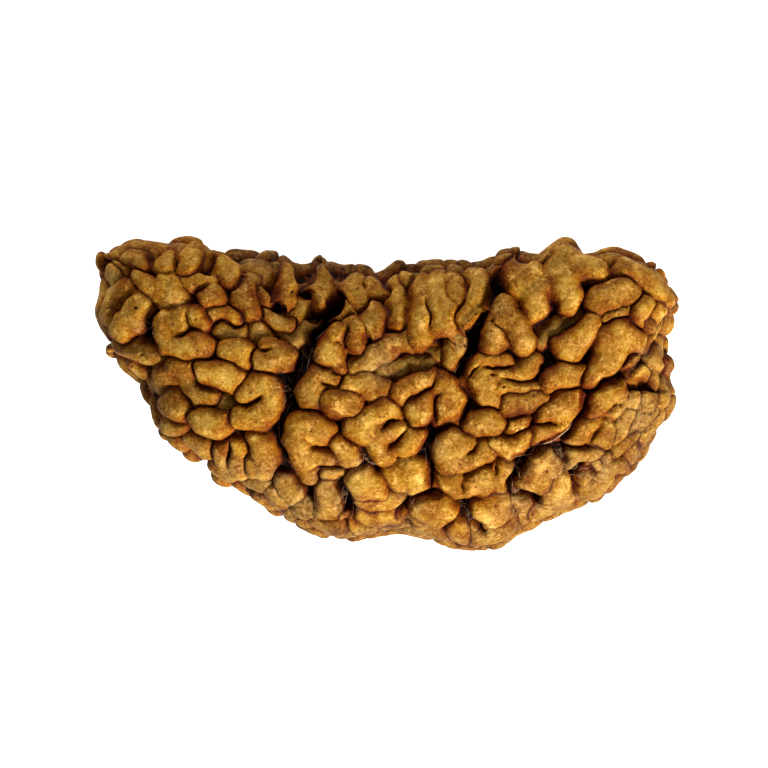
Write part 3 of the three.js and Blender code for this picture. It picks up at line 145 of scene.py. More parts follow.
TOP_FINGERS = [
    [0.1, [[-1.6, 6.55, 0.4], [-1.9, 6, 0.42], [-1.65, 5.6, 0.5], [-1.5, 5.25, 0.28]], [[-0.8, 6.4, 0.25],
        [-0.65, 5.8, 0.33]]],
    [0.7, [[-1.85, 7.1, 0.25], [-1.25, 6.98, 0.2]]],
    [0.15, [[-0.6, 4.9, 0.42], [-0.6, 4.2, 0.55], [-0.72, 3.65, 0.4]]],
    [0.3, [[-2.15, 5.05, 0.28], [-1.95, 4.6, 0.38], [-1.65, 4.2, 0.22]]],
    [0.15, [[0.4, 6.2, 0.4], [0.55, 5.5, 0.44], [0.6, 4.8, 0.4], [0.6, 4.1, 0.38]]],
    [0.75, [[0.45, 6.9, 0.28], [1, 7.05, 0.32], [1.7, 7.05, 0.22]]],
    [0, [[1.95, 6.4, 0.4], [1.95, 5.2, 0.45], [1.98, 4.2, 0.5], [1.85, 3.1, 0.42]], [[2.8, 6.5, 0.5],
        [2.85, 5.4, 0.75], [2.95, 4.6, 0.78], [3.1, 3.9, 0.52]], [[3.72, 6.4, 0.42], [3.75, 5.8, 0.38],
        [3.78, 5.35, 0.22]]],
    [0.1, [[4.95, 6.8, 0.48], [5.1, 6.2, 0.58], [4.9, 5.4, 0.52], [4.6, 4.6, 0.42], [4.4, 4.05, 0.32]]],
    [0.75, [[2.7, 7.3, 0.18], [3.2, 7.35, 0.22], [3.8, 7.22, 0.18]]],
    [0.6, [[5.85, 7.45, 0.3], [6.3, 7.7, 0.3]]],
    [0.7, [[6.8, 8, 0.18], [7.4, 7.98, 0.18], [7.9, 7.88, 0.12]]],
    [0, [[8, 7.15, 0.55], [8.1, 6.4, 0.8], [8.2, 5.6, 0.78], [8.4, 4.8, 0.52]], [[6.85, 7.1, 0.38],
        [7.1, 6.4, 0.42], [7.45, 5.8, 0.35]], [[9.5, 7.2, 0.65], [9.85, 6.3, 0.8], [10.05, 5.5, 0.72],
        [10.1, 5.05, 0.5]], [[9.6, 8.1, 0.5], [10.4, 7.75, 0.7], [11.1, 7.25, 0.7], [11.75, 7, 0.5]]],
    [0, [[6.5, 5.15, 0.42], [6.45, 4.4, 0.6], [6.15, 3.6, 0.7], [5.85, 2.95, 0.6]], [[6.7, 4.4, 0.6],
        [7.15, 3.65, 0.78], [7.45, 3, 0.66]]],
    [0.65, [[8.7, 3.1, 0.42], [9.3, 3.5, 0.42], [9.9, 4, 0.32], [10.5, 4.45, 0.18]]],
]
RIGHT_SHOULDER = [
    [0.05, [[11.75, 5.3, 0.58], [12.5, 5.6, 0.72], [13.2, 6, 0.6], [13.7, 5.65, 0.4]]],
    [0.1, [[13.2, 7.2, 0.5], [14.1, 6.8, 0.7], [14.8, 6.3, 0.7], [15.5, 5.7, 0.5], [15.9, 5.2, 0.3]]],
    [0.35, [[11.9, 8.1, 0.2], [12.5, 8.1, 0.24]], [[12.6, 7.85, 0.22], [13.6, 7.75, 0.22],
        [14.6, 7.3, 0.22]]],
    [0.1, [[14.5, 5, 0.42], [14.2, 4.5, 0.48], [14, 4.15, 0.3]]],
    [0.2, [[15.3, 5, 0.28], [15.28, 4.5, 0.38], [15.15, 4.15, 0.28]]],
    [0.35, [[12.2, 4.3, 0.22], [12.9, 4.55, 0.3], [13.35, 4.6, 0.3]]],
    [0.05, [[11.35, 4, 0.42], [11, 3.3, 0.5], [10.5, 2.7, 0.58], [9.95, 2.4, 0.48]]],
    [0, [[13.3, 3.3, 0.85], [12.8, 2.6, 1], [12.2, 1.7, 0.75], [11.5, 1, 0.5]], [[14, 2.9, 0.5]]],
    [0, [[9.15, 0.8, 0.4], [9.9, 1, 0.52], [10.4, 1.1, 0.45]]],
]
RIGHT_FLANK = [
    [0.25, [[13.7, 1.05, 0.35], [14.3, 1.3, 0.33]]],
    [0.3, [[15, 2.2, 0.42], [15.15, 1.5, 0.38]]],
    [0.3, [[15.35, 3.95, 0.2], [14.9, 3.15, 0.22], [14.75, 2.6, 0.2]]],
    [0.4, [[15.4, 3, 0.2], [15.45, 2.4, 0.2]]],
    [0.05, [[12.9, 0.4, 0.45], [12.4, -0.2, 0.65], [11.8, -0.7, 0.58]], [[13.12, -0.45, 0.24],
        [12.6, -1.1, 0.22]]],
    [0.05, [[10.5, -0.2, 0.38], [10, -0.8, 0.6], [9.3, -1, 0.6], [8.8, -1.2, 0.4]], [[8.6, -2.2, 0.48],
        [9.3, -2.05, 0.4], [9.9, -1.7, 0.38]]],
    [0.25, [[14.7, 0, 0.33], [14.6, -0.7, 0.42]]],
    [0.25, [[15.55, 0.4, 0.3], [15.6, -0.3, 0.28]]],
    [0.35, [[13.9, 0.1, 0.25], [13.8, -0.6, 0.33]]],
    [0.15, [[11.45, -1.65, 0.38], [10.9, -2.1, 0.48], [10.4, -2.6, 0.33]], [[12.3, -1.9, 0.33],
        [12.1, -2.4, 0.38], [11.7, -2.85, 0.28]]],
    [0.3, [[13.5, -1.2, 0.33], [13.2, -1.8, 0.33], [12.85, -2.45, 0.28]]],
    [0.35, [[14.8, -1.05, 0.26], [14.3, -1.5, 0.26], [13.75, -2, 0.22]]],
    [0.35, [[15.4, -1.3, 0.32], [14.9, -2, 0.33], [14.3, -2.7, 0.3]]],
    [0.35, [[13.9, -2.4, 0.24], [13.3, -2.8, 0.28], [12.75, -3.3, 0.28]]],
    [0.15, [[11.8, -3.2, 0.33], [11.2, -3.5, 0.48], [10.5, -3.55, 0.42]]],
    [0.35, [[14, -3.05, 0.28], [13.65, -3.65, 0.3]]],
    [0.3, [[12.6, -4.15, 0.38], [12, -4.6, 0.38]], [[13.2, -4.1, 0.33]]],
    [0.35, [[11.3, -5.25, 0.33], [10.9, -5.5, 0.28]], [[12.4, -5.25, 0.22], [11.9, -5.7, 0.26],
        [11.25, -5.9, 0.2]]],
]
CENTRE = [
    [0, [[-2.7, 3.5, 0.42], [-3.1, 2.65, 0.6], [-3.15, 2.1, 0.6], [-2.75, 1.6, 0.35]],
        [[-2.05, 3.9, 0.28], [-1.85, 3.3, 0.45], [-1.85, 2.75, 0.42]]],
    [0.35, [[-1.85, 1.4, 0.38], [-1.1, 1.8, 0.55], [-0.4, 2.4, 0.55], [0.3, 2.9, 0.48], [1, 2.95, 0.42],
        [1.3, 2.7, 0.28]]],
    [0.55, [[-0.3, 1.25, 0.33], [0.3, 1.4, 0.4], [0.75, 1.6, 0.33]], [[1.3, 1.95, 0.33], [1.75, 1.7, 0.5],
        [2.3, 1.6, 0.42]]],
    [0.75, [[2.3, 2.5, 0.33], [2.7, 2.25, 0.28]]],
    [0.45, [[3.9, 2.9, 0.42], [3.95, 2.4, 0.52], [3.55, 1.8, 0.35]]],
    [0.1, [[-3.8, 0.9, 0.58], [-4.2, 0.2, 0.62], [-4.3, -0.25, 0.5], [-3.8, -0.3, 0.4]],
        [[-3.3, 1, 0.42], [-2.95, 0.8, 0.33]]],
    [0, [[-3.2, -0.5, 0.5], [-2.6, -0.6, 0.72], [-1.95, -0.5, 0.55]]],
    [0.15, [[-2.15, 0.6, 0.38], [-1.3, 0.45, 0.48], [-0.5, 0.25, 0.48], [-0.25, 0.2, 0.35]]],
    [0, [[0.1, -0.85, 0.55], [-0.5, -1.1, 0.42], [-1.2, -1.6, 0.62], [-1.8, -1.75, 0.42],
        [-1.2, -2.2, 0.6]], [[0.65, -1.95, 0.33], [0.2, -2.2, 0.5], [-0.5, -2.4, 0.5], [-0.5, -2.9, 0.5],
        [-0.2, -3.35, 0.55]], [[1.55, -2.35, 0.4], [1.3, -2.75, 0.48], [0.8, -3.1, 0.33]]],
    [0.05, [[0.7, -0.1, 0.35], [1.2, 0.3, 0.48], [1.8, 0.6, 0.45], [2.4, 0.8, 0.28]], [[2.15, -0.4, 0.35],
        [1.8, -1, 0.6], [1.85, -1.3, 0.42]], [[2.95, 0.55, 0.4], [3.35, 0.5, 0.45], [3.5, -0.2, 0.75],
        [3.4, -0.9, 0.78], [3.15, -1.3, 0.45]]],
    [0.2, [[5.1, 0.6, 0.45], [5.5, 1.1, 0.45], [5.5, 0.3, 0.55], [5.75, -0.3, 0.48]], [[4.5, 0.9, 0.22],
        [4.8, 1.55, 0.28], [5.4, 1.85, 0.28], [6.2, 1.82, 0.24], [6.65, 1.75, 0.2]], [[6.3, 1.1, 0.33],
        [7, 1.1, 0.33], [7.5, 1.05, 0.4], [8, 1.5, 0.48], [8.2, 1.75, 0.33]], [[6.5, 0.5, 0.4],
        [7.2, 0.4, 0.33], [7.9, 0.28, 0.26], [8.2, 0.25, 0.2]]],
    [0.1, [[6.7, -0.72, 0.35], [7.4, -0.5, 0.48], [8.1, -0.35, 0.4], [8.6, -0.2, 0.24]]],
    [0.05, [[4.6, -1.7, 0.4], [5.4, -1.6, 0.65], [6, -1.7, 0.5]]],
    [0.3, [[7.1, -1.75, 0.52], [7.35, -1.65, 0.48]]],
]
BELLY = [
    [0, [[3.5, -2.6, 0.68], [4.2, -2.75, 0.65], [3.3, -3.3, 0.72]], [[5.6, -3.35, 0.3], [5.2, -3.2, 0.5],
        [4.9, -3.5, 0.48], [4.1, -3.9, 0.4], [3.2, -4.05, 0.28]]],
    [0.1, [[6.15, -2.85, 0.48], [6.7, -3.2, 0.38], [7.3, -2.95, 0.33], [7.7, -2.5, 0.24]]],
    [0.1, [[2.95, -4.8, 0.38], [3.6, -5.05, 0.55], [3.9, -5.4, 0.48]], [[4.6, -5.2, 0.5], [5.2, -4.9, 0.65],
        [5.5, -5.1, 0.52]], [[6.55, -4.25, 0.42], [6.3, -4.8, 0.4], [5.95, -5.25, 0.33]]],
    [0, [[-4.75, -1.85, 0.75], [-4.2, -2.1, 0.82], [-3.6, -2.1, 0.6]], [[-5.1, -2.8, 0.55],
        [-4.7, -3.5, 0.58], [-4.35, -4.2, 0.5], [-4.35, -4.6, 0.33]], [[-4, -3.45, 0.42],
        [-3.4, -3.55, 0.4]]],
    [0.1, [[-2.6, -2.85, 0.42], [-2.3, -3.3, 0.58], [-2.2, -3.6, 0.42]]],
    [0.25, [[-3.4, -4.5, 0.33], [-2.8, -4.45, 0.28]]],
    [0.2, [[-3.5, -5.25, 0.4], [-3.3, -5.9, 0.55], [-3.5, -6.5, 0.5], [-2.85, -6.7, 0.35]]],
    [0.15, [[-5.8, -5, 0.38], [-5.5, -5.45, 0.52], [-5.25, -5.75, 0.4]]],
    [0.1, [[1.3, -4.1, 0.55], [1.55, -4.7, 0.72], [1.7, -5.05, 0.58]], [[0.35, -4.5, 0.42],
        [0.65, -5.05, 0.38]]],
    [0.05, [[-1.6, -4.7, 0.55], [-1.2, -5.2, 0.78], [-0.7, -5.3, 0.58]]],
    [0.2, [[0.5, -5.95, 0.42], [-0.1, -6.2, 0.5], [-0.8, -6.3, 0.35], [-1.4, -6.1, 0.2]]],
    [0.25, [[-1.4, -6.85, 0.4], [-0.6, -7.1, 0.58], [0.1, -7, 0.48]]],
    [0.1, [[1.8, -6.6, 0.48], [2.6, -6.6, 0.82], [3.1, -6.6, 0.72], [2.7, -7.2, 0.38]]],
    [0.1, [[6.25, -6.1, 0.55], [5.9, -6.7, 0.82], [6.3, -7, 0.58], [5.2, -6.6, 0.55]]],
    [0.1, [[8.6, -3.7, 0.58], [8.5, -4.3, 0.72], [8.7, -4.8, 0.48]], [[9.3, -3.9, 0.3],
        [9.35, -4.3, 0.25]], [[7.4, -5.15, 0.22], [7.9, -5.25, 0.28], [8.35, -5.3, 0.18]]],
    [0.2, [[9.9, -4.7, 0.38], [9.7, -5.4, 0.62], [9.8, -6, 0.48], [9.2, -5.8, 0.38]]],
]
LOWER_LEFT = [
    [0.25, [[-9.25, -3.2, 0.28], [-9.2, -3.9, 0.33]], [[-8.4, -3, 0.4], [-8.3, -3.7, 0.4],
        [-8.4, -4.4, 0.42]], [[-9.9, -4.3, 0.2], [-9.3, -4.6, 0.28], [-8.75, -4.85, 0.28]]],
    [0.1, [[-7, -2.85, 0.58], [-6.9, -3.5, 0.65], [-6.8, -4.1, 0.55], [-6.9, -4.35, 0.4]],
        [[-7.5, -3.85, 0.26], [-7.42, -4.35, 0.28]]],
    [0.5, [[-7.6, -5.2, 0.42], [-7, -5.3, 0.48]]],
    [0.35, [[-6.4, -5.6, 0.38], [-6.1, -6.2, 0.45]]],
    [0.4, [[-5.7, -6.7, 0.33], [-5.15, -7, 0.3]]],
    [0.35, [[-4.85, -6.45, 0.48], [-4.4, -6.65, 0.48]]],
    [0.3, [[-3.8, -7.3, 0.42], [-3.2, -7.55, 0.52], [-2.7, -7.65, 0.38]]],
    [0.5, [[-2.5, -8, 0.28], [-1.8, -7.95, 0.28]]],
    [0.4, [[-1.85, -7.2, 0.3], [-1.4, -7.6, 0.38], [-0.9, -7.75, 0.25]]],
]
BOTTOM_RIM = [
    [0.5, [[0.4, -7.4, 0.26], [-0.1, -7.6, 0.15]]],
    [0.3, [[1.9, -7.5, 0.28], [2.7, -7.9, 0.28], [3.2, -8.15, 0.2]]],
    [0.25, [[4, -7.4, 0.4], [3.8, -7.9, 0.42], [4.4, -8.25, 0.33]]],
    [0.2, [[6.9, -7.2, 0.33], [6.5, -7.9, 0.42], [5.8, -8.15, 0.38], [5, -8.25, 0.33]]],
    [0.4, [[7.45, -6.1, 0.33], [7.9, -6.3, 0.26], [7.4, -6.8, 0.38]]],
    [0.35, [[8.3, -6.85, 0.28], [9, -6.6, 0.28]]],
]
FRONT_NODULES = [
    *UPPER_LEFT, *LEFT_FLANK, *NOTCH, *TOP_FINGERS, *RIGHT_SHOULDER,
    *RIGHT_FLANK, *CENTRE, *BELLY, *LOWER_LEFT, *BOTTOM_RIM,
]

# Slits cut into single nodules: [half width, share of the full depth, path]
SLITS = [
    [0.16, 1, [[-13.45, 8], [-13.3, 7.7], [-13.05, 7.3]]],
    [0.14, 0.9, [[-13.9, 5.6], [-14.55, 5.3], [-14.9, 4.8], [-15.3, 4.35], [-15.4, 4]]],
    [0.1, 0.6, [[-14.9, 4.75], [-15.7, 4.7]]],
    [0.14, 0.9, [[-12.9, 6.85], [-12.95, 6.35]]],
    [0.14, 0.9, [[-10.75, 5.6], [-10.3, 5.85], [-9.8, 6.1]]],
    [0.14, 1, [[-11.75, 3.2], [-11.35, 3.2], [-10.9, 3.65], [-10.2, 3.5]]],
    [0.12, 0.7, [[-11.1, 4.6], [-11.05, 4.3], [-10.9, 3.7]]],
    [0.16, 1, [[-8.3, -0.62], [-7.75, -0.68], [-7.2, -0.4], [-6.85, -0.08]]],
    [0.16, 1, [[-7.1, 2.45], [-6.7, 2.42], [-6.35, 2.5]]],
    [0.14, 0.9, [[2.08, 5.25], [2.3, 4.6], [2.42, 4.1], [2.4, 3.6]]],
    [0.12, 0.7, [[3.2, 6.3], [3.28, 5.6], [3.65, 5.08]]],
    [0.14, 0.8, [[5.8, 4.05], [6.4, 3.55], [6.75, 3], [6.9, 2.5]]],
    [0.12, 0.6, [[6.9, 6.9], [7.05, 6.3], [7.35, 5.7]]],
    [0.14, 1, [[9.1, 5.5], [9.12, 5], [9.18, 4.6]]],
    [0.14, 0.9, [[-2.2, 4], [-2.22, 3.3], [-2.25, 2.7], [-2.35, 2.45]]],
    [0.12, 0.6, [[-2.3, 2.7], [-2.6, 2.9], [-3, 2.85]]],
    [0.14, 0.8, [[-3.8, 0.85], [-3.55, 0.58], [-3, 0.42], [-2.75, 0.45]]],
    [0.16, 1, [[0.7, -1.45], [0.1, -1.58], [-0.3, -1.95]]],
    [0.14, 0.9, [[1.1, -2.05], [0.55, -2.65], [0.1, -3]]],
    [0.15, 0.9, [[2.72, -1.7], [2.65, -0.8], [2.75, -0.2], [3.05, 0.05]]],
    [0.14, 0.9, [[2.75, 0.9], [2.55, 0.35], [1.9, 0.05], [1.35, -0.15], [1, -0.6]]],
    [0.15, 1, [[4.55, 0.7], [4.85, 1.35], [5.2, 1.6]]],
    [0.12, 0.8, [[5.65, 1.05], [6.1, 1]]],
    [0.14, 0.9, [[5.3, 1.5], [5.9, 1.38], [6.5, 1.42], [7.1, 1.55]]],
    [0.13, 0.8, [[6.35, 0.85], [7, 0.75], [7.6, 0.72], [8.2, 0.68]]],
    [0.14, 0.9, [[5.15, -2.6], [4.8, -3.1], [4.3, -3.35]]],
    [0.15, 1, [[6.05, -3.85], [6.05, -4.5]]],
    [0.14, 1, [[4.15, -4.85], [4.2, -5.5]]],
    [0.14, 0.9, [[-4.15, -2.98], [-3.6, -3.02], [-3.15, -2.95]]],
    [0.14, 0.8, [[-4.2, -4.2], [-3.9, -4.1], [-3, -4.12], [-2.3, -4.15]]],
    [0.14, 0.9, [[-3.82, -4.2], [-3.78, -4.9]]],
    [0.14, 0.9, [[-7.78, -3.2], [-7.65, -3.55], [-7.45, -3.7]]],
    [0.15, 1, [[-8.85, -2.7], [-8.85, -3.4], [-8.92, -4.2]]],
    [0.14, 0.9, [[8.05, -1.7], [8.7, -1.7], [9.4, -1.7]]],
    [0.12, 0.6, [[12.05, -1.15], [12.6, -0.7], [13.05, -0.5]]],
    [0.13, 0.8, [[9.6, -2.95], [10.6, -3.05], [11.3, -2.95]]],
    [0.12, 0.7, [[11.9, -1.9], [11.55, -2.5], [11.3, -2.9]]],
]

# Hollows where the valleys between nodules run deepest: [extra depth, path]
HOLLOWS = [
    [0.5, [[-13.5, 3.25], [-13.15, 3.45]]],
    [0.4, [[-9.85, 7.5], [-9.85, 7]]],
    [0.9, [[-4.5, 6.5], [-4.5, 5.8]]],
    [1.8, [[-4.6, 7.15], [-4.55, 6.4]]],
    [1.9, [[-2.7, 7.2], [-2.75, 6.4]]],
    [0.5, [[-4.1, 5], [-4, 4.5]]],
    [0.6, [[-6.1, 6.6], [-6.2, 5.9], [-6.15, 5.2]]],
    [0.9, [[-2.65, 6.9], [-2.75, 6], [-2.85, 5.2], [-3.1, 4.4], [-3.5, 3.7], [-3.9, 2.9]]],
    [0.7, [[-4.2, 2.4], [-4.7, 1.9], [-4.6, 2.5]]],
    [0.2, [[1.25, 5.6], [1.22, 4.4]]],
    [0.6, [[4.85, 3.2], [4.75, 2.6], [4.3, 1.6], [3.9, 1.2]]],
    [0.3, [[0.5, 2.35], [0.9, 2.3]]],
    [0.3, [[-2.1, 2.1], [-1.95, 2.25]]],
    [0.5, [[6.1, 7], [6.15, 6.3]]],
    [0.9, [[4.1, -6.2], [4.35, -6.9]]],
    [0.9, [[4.5, -7.1], [5.2, -7.6]]],
    [0.4, [[7.3, -3.95], [7.25, -4.5], [6.9, -5.2]]],
    [0.8, [[7.8, -5.75], [8.4, -6.2]]],
    [0.4, [[10.6, -4.35], [11.1, -4.4]]],
    [0.7, [[-2.6, -5.3], [-2.3, -6.3]]],
    [0.3, [[2.2, -3.3], [2.3, -2.5]]],
    [0.3, [[-5.6, 0.2], [-5.5, -0.6]]],
]

# The seed's own dividing line, a furrow that winds along the convex edge a little behind the rim
SEAM = [
    [-15.6, 3.4, -1.2], [-14.2, 1, -1.8], [-12.8, -1.6, -1.3], [-10.4, -4, -1.9], [-7.2, -5.9, -1.5],
    [-3.8, -7.6, -1.1], [-0.6, -7.9, -1.7], [3, -8.4, -1.2], [6.4, -8.3, -1.8], [9.2, -6.8, -1.3],
    [12.2, -5.4, -1.9], [14.6, -2.8, -1.4], [15.9, 0.2, -1.7], [15.9, 3.4, -1.2],
]

# Small pits in the nodules: [x, y, radius]
PITS = [
    [-1.2, 6.15, 0.2], [-1.6, 5.8, 0.1], [-5.2, 5.7, 0.12], [6.45, 0.4, 0.12], [8.6, 1.6, 0.16],
    [4.35, 2.7, 0.12], [9.6, 8.35, 0.2], [13, -0.65, 0.14], [8.9, -4.25, 0.12], [5.85, 4.1, 0.16],
    [-6, 0.25, 0.14],
    [-13.85, 4.75, 0.14], [-13.75, 2.1, 0.14],
]

# Valleys of the front in which dry pulp fibres are left: paths of [x, y]
FURROWS = [
    [[-2.6, 5.8], [-2.9, 5], [-3.2, 4.3], [-3.7, 3.5], [-4.4, 2.6], [-4.7, 2], [-5.2, 1.4], [-5.6, 0.6],
     [-5.5, -0.3], [-5.8, -1.2], [-6, -2.2], [-6, -3], [-5.7, -3.7], [-6, -4.1]],
    [[6.2, 7], [6.1, 6], [5.5, 4.8], [5.2, 3.9], [4.9, 2.8], [4.2, 1.4], [4.5, 0.2], [4.8, -0.5], [4, -1.4],
     [3, -1.9], [2.5, -2.6], [2.2, -3.5], [2.4, -4.6], [2.8, -5.4], [1.2, -6], [0.8, -6.8], [1.1, -7.3]],
    [[14.5, 1.9], [13.2, 1.2], [12, 0.5], [10.9, 0.2], [10.8, -1.2], [10, -2.2], [8.5, -3], [7.2, -3.6],
     [7.3, -4.4], [6.9, -5.1], [7.8, -5.8], [8.5, -6.2]],
    [[-2.7, -4.8], [-2.6, -5.4], [-2.2, -6.1], [-2.1, -6.8], [-2.4, -7.7]],
    [[4.2, -6.2], [4.3, -6.9], [4.9, -7.4], [5.3, -7.9]],
    [[9.5, -3], [9.9, -3.6]],
    [[10.5, -4.3], [11.4, -4.3]],
    [[10.6, -4.8], [10.5, -5.6]],
    [[13.5, 0.4], [14.5, 0.55], [15.5, 0.3]],
]

# Patches that pale dust of the dried pulp clings to: [x, y, radius]
DUST = [
    [-3, -4.9, 1.5], [-1.3, -4, 0.8], [-2.3, -6, 1.2], [9.8, -3.9, 1.4], [7.4, -6, 1.2], [5.4, -7.6, 1.2],
    [1.2, -6, 1], [-6.6, -5.2, 1.8], [11.6, -4.2, 1.4], [-4.8, -6.3, 1.3], [-8.6, -4.6, 1.2],
    [13.8, -1.2, 1.6],
    [14.6, 1.8, 1], [9.4, -6.2, 1.2], [-5.6, 0.4, 0.8], [-4.4, 2.4, 0.8], [2.6, -3, 0.7], [7.4, -4.2, 0.9],
    [-15.6, 6.2, 0.8], [3.9, 3, 0.8], [-0.4, 1.6, 1.2], [1.6, -8, 1.2], [-13.6, 3.4, 0.6],
]

# Long single strands across the valleys: [radius, path]
STRANDS = [
    [0.05, [[7.1, -3.45], [8, -3.1], [9, -2.85], [9.6, -2.4], [10.2, -1.9], [10.7, -1.4]]],
    [0.03, [[-13.6, 3.7], [-13.3, 3.4], [-13.15, 3]]],
]

# Tufts of short fibres: [x, y, radius, fibres]
TUFTS = [
    [-2.9, -4.9, 0.8, 90], [9.8, -3.9, 0.7, 90], [7.4, -6, 0.7, 80], [4.6, -7.2, 0.6, 60],
    [-1.2, -4, 0.4, 40], [-2.4, -6, 0.6, 60], [-13.3, 3.5, 0.35, 16], [-5.4, 0.2, 0.5, 16],
    [-4.4, 2.2, 0.5, 14], [2.4, -3, 0.4, 24],
    [7.3, -4.3, 0.5, 50], [1.1, -6, 0.5, 50], [10.6, -4.6, 0.5, 40], [3, -0.2, 0.4, 20],
]

# How nodules fill the sides and the back: [radius, tries] from the widest to the finest
SIZES = [[1.1, 60], [0.9, 150], [0.72, 300], [0.55, 500], [0.42, 900], [0.32, 1200]]

# Slow waves that sway the nodules: for x, y and z in turn, [height, waves along x, y and z, phase]
SWAYS = [
    [[0.1, 0, 2.1, 1.3, 0.4], [0.05, -2.2, 4.7, 0, 1.9]],
    [[0.1, 1.9, 0, -1.7, 2.1], [0.05, 4.3, 2.9, 0, 0.7]],
    [[0.08, 1.7, 2.3, 0, 1.1]],
]


def smooth_step(share: Array) -> Array:
    """A rise from 0 to 1 with no kinks at its ends."""
    held = np.clip(share, 0, 1)
    return held * held * (3 - 2 * held)


def smooth_max(first: Array, second: Array, blend: float | Array) -> Array:
    """The larger of two heights, rounded over where they are within blend of each other."""
    mix = np.clip(0.5 + (first - second) / (2 * blend), 0, 1)
    return second + (first - second) * mix + blend * mix * (1 - mix)


@dataclass
class Pillow:
    """The skin that runs through the outermost nodule tops, in millimetres."""

    rim: list[list[float]]
    middle: Array
    half_thickness: float
    squareness: float = 2.35  # of its section, where 2 would be an ellipse
    allowance: float = 0.25  # by which nodules along the rim fall short of it, on average
    last_share: float = 0.9999  # the nearest to the rim that a height is read
    probe: float = 0.001  # the step by which the skin's slope is felt
    angles: Array = field(init=False)
    radii: Array = field(init=False)
    slopes: Array = field(init=False)

    def __post_init__(self) -> None:
        """Puts the rim's points in the order of their angle, with a few repeated past each end."""
        offsets = np.array(self.rim) - self.middle[:2]
        angles = np.arctan2(offsets[:, 1], offsets[:, 0])
        order = np.argsort(angles)
        turn = 2 * np.pi
        angles, radii = angles[order], np.hypot(offsets[:, 0], offsets[:, 1])[order]
        self.angles = np.concatenate([angles[-2:] - turn, angles, angles[:3] + turn])
        self.radii = np.concatenate([radii[-2:], radii, radii[:3]])
        self.slopes = np.zeros_like(self.radii)
        self.slopes[1:-1] = (self.radii[2:] - self.radii[:-2]) / (self.angles[2:] - self.angles[:-2])

    def rim_radius(self, angles: Array) -> Array:
        """Distance from the middle to the rim: a smooth curve through the rim's points.

        Args:
            angles: Directions from the middle, from -pi to pi.

        Returns:
            One radius for each angle.
        """
        after = np.searchsorted(self.angles, angles, side="right")
        at = np.clip(after - 1, 1, len(self.angles) - 3)
        span = self.angles[at + 1] - self.angles[at]
        t = (angles - self.angles[at]) / span
        late = t * t * (3 - 2 * t)
        leave = t * (1 - t) ** 2 * span * self.slopes[at]
        arrive = t * t * (1 - t) * span * self.slopes[at + 1]
        return self.radii[at] * (1 - late) + self.radii[at + 1] * late + leave - arrive + self.allowance

    def rim_share(self, x: Array, y: Array) -> Array:
        """How far out each place is: 0 in the middle and 1 on the rim."""
        dx, dy = x - self.middle[0], y - self.middle[1]
        return np.hypot(dx, dy) / self.rim_radius(np.arctan2(dy, dx))

    def measure(self, places: Array) -> Array:
        """1 on the skin, less inside it and more outside."""
        across = self.rim_share(places[:, 0], places[:, 1]) ** self.squareness
        return across + (np.abs(places[:, 2]) / self.half_thickness) ** self.squareness

    def height(self, x: Array, y: Array) -> Array:
        """Height of the front's skin over each place."""
        share = np.minimum(self.rim_share(x, y), self.last_share)
        return self.half_thickness * (1 - share**self.squareness) ** (1 / self.squareness)

    def onto(self, places: Array) -> Array:
        """Places moved straight from or to the middle, onto the skin."""
        scale = self.measure(places) ** (-1 / self.squareness)
        return self.middle + (places - self.middle) * scale[:, None]

    def normals(self, places: Array) -> Array:
        """The skin's outward direction at each place.

        Args:
            places: Places near the skin, one a row.

        Returns:
            One direction of length 1 for each place.
        """
        steps = np.eye(3) * self.probe
        slopes = [self.measure(places + step) - self.measure(places - step) for step in steps]
        normals = np.stack(slopes, axis=1)
        return normals / np.linalg.norm(normals, axis=1)[:, None]


@dataclass
class Stroke:
    """A row of balls on the skin, or a bare path where every radius is nought."""

    points: Array
    radii: Array
    height_share: float = 1.0  # how much a difference of height counts

    @property
    def weights(self) -> Array:
        """What each axis counts for in distances."""
        return np.array([1.0, 1.0, self.height_share])

    def stretches(self, places: Array) -> Iterator[tuple[Array, Array, Array]]:
        """Measures places against each stretch between two balls.

        Args:
            places: Places near the skin, one a row.

        Yields:
            The distance to the stretch's line, the radius there, and the length along the stroke.
        """
        spots = places * self.weights
        centres = self.points * self.weights
        if len(centres) == 1:
            distances = np.linalg.norm(spots - centres[0], axis=1)
            yield distances, np.full(len(spots), self.radii[0]), np.zeros(len(spots))
            return
        before = 0.0
        for start, end, first, last in zip(centres, centres[1:], self.radii, self.radii[1:]):
            way = end - start
            length = float(np.linalg.norm(way))
            t = np.clip((spots - start) @ way / length**2, 0, 1)
            distances = np.linalg.norm(spots - start - t[:, None] * way, axis=1)
            yield distances, first + (last - first) * t, before + t * length
            before += length

    def clearance(self, places: Array) -> Array:
        """Room between each place and the nearest ball."""
        return np.min([distances - radii for distances, radii, _ in self.stretches(places)], axis=0)

    def nearest(self, places: Array) -> tuple[Array, Array]:
        """Measures places against the whole path.

        Args:
            places: Places near the skin, one a row.

        Returns:
            The distance to the path, and how far that nearest point is from the path's closer end.
        """
        found = list(self.stretches(places))
        distances = np.array([row[0] for row in found])
        along = np.array([row[2] for row in found])
        best = distances.argmin(axis=0)
        at = np.take_along_axis(along, best[None], axis=0)[0]
        steps = np.diff(self.points * self.weights, axis=0)
        total = float(np.linalg.norm(steps, axis=1).sum())
        return distances.min(axis=0), np.minimum(at, total - at)

    def reach(self, margin: float) -> tuple[Array, Array]:
        """Lowest and highest corner of the space within margin of the balls."""
        grow = (float(np.max(self.radii)) + margin) / self.weights
        return self.points.min(axis=0) - grow, self.points.max(axis=0) + grow


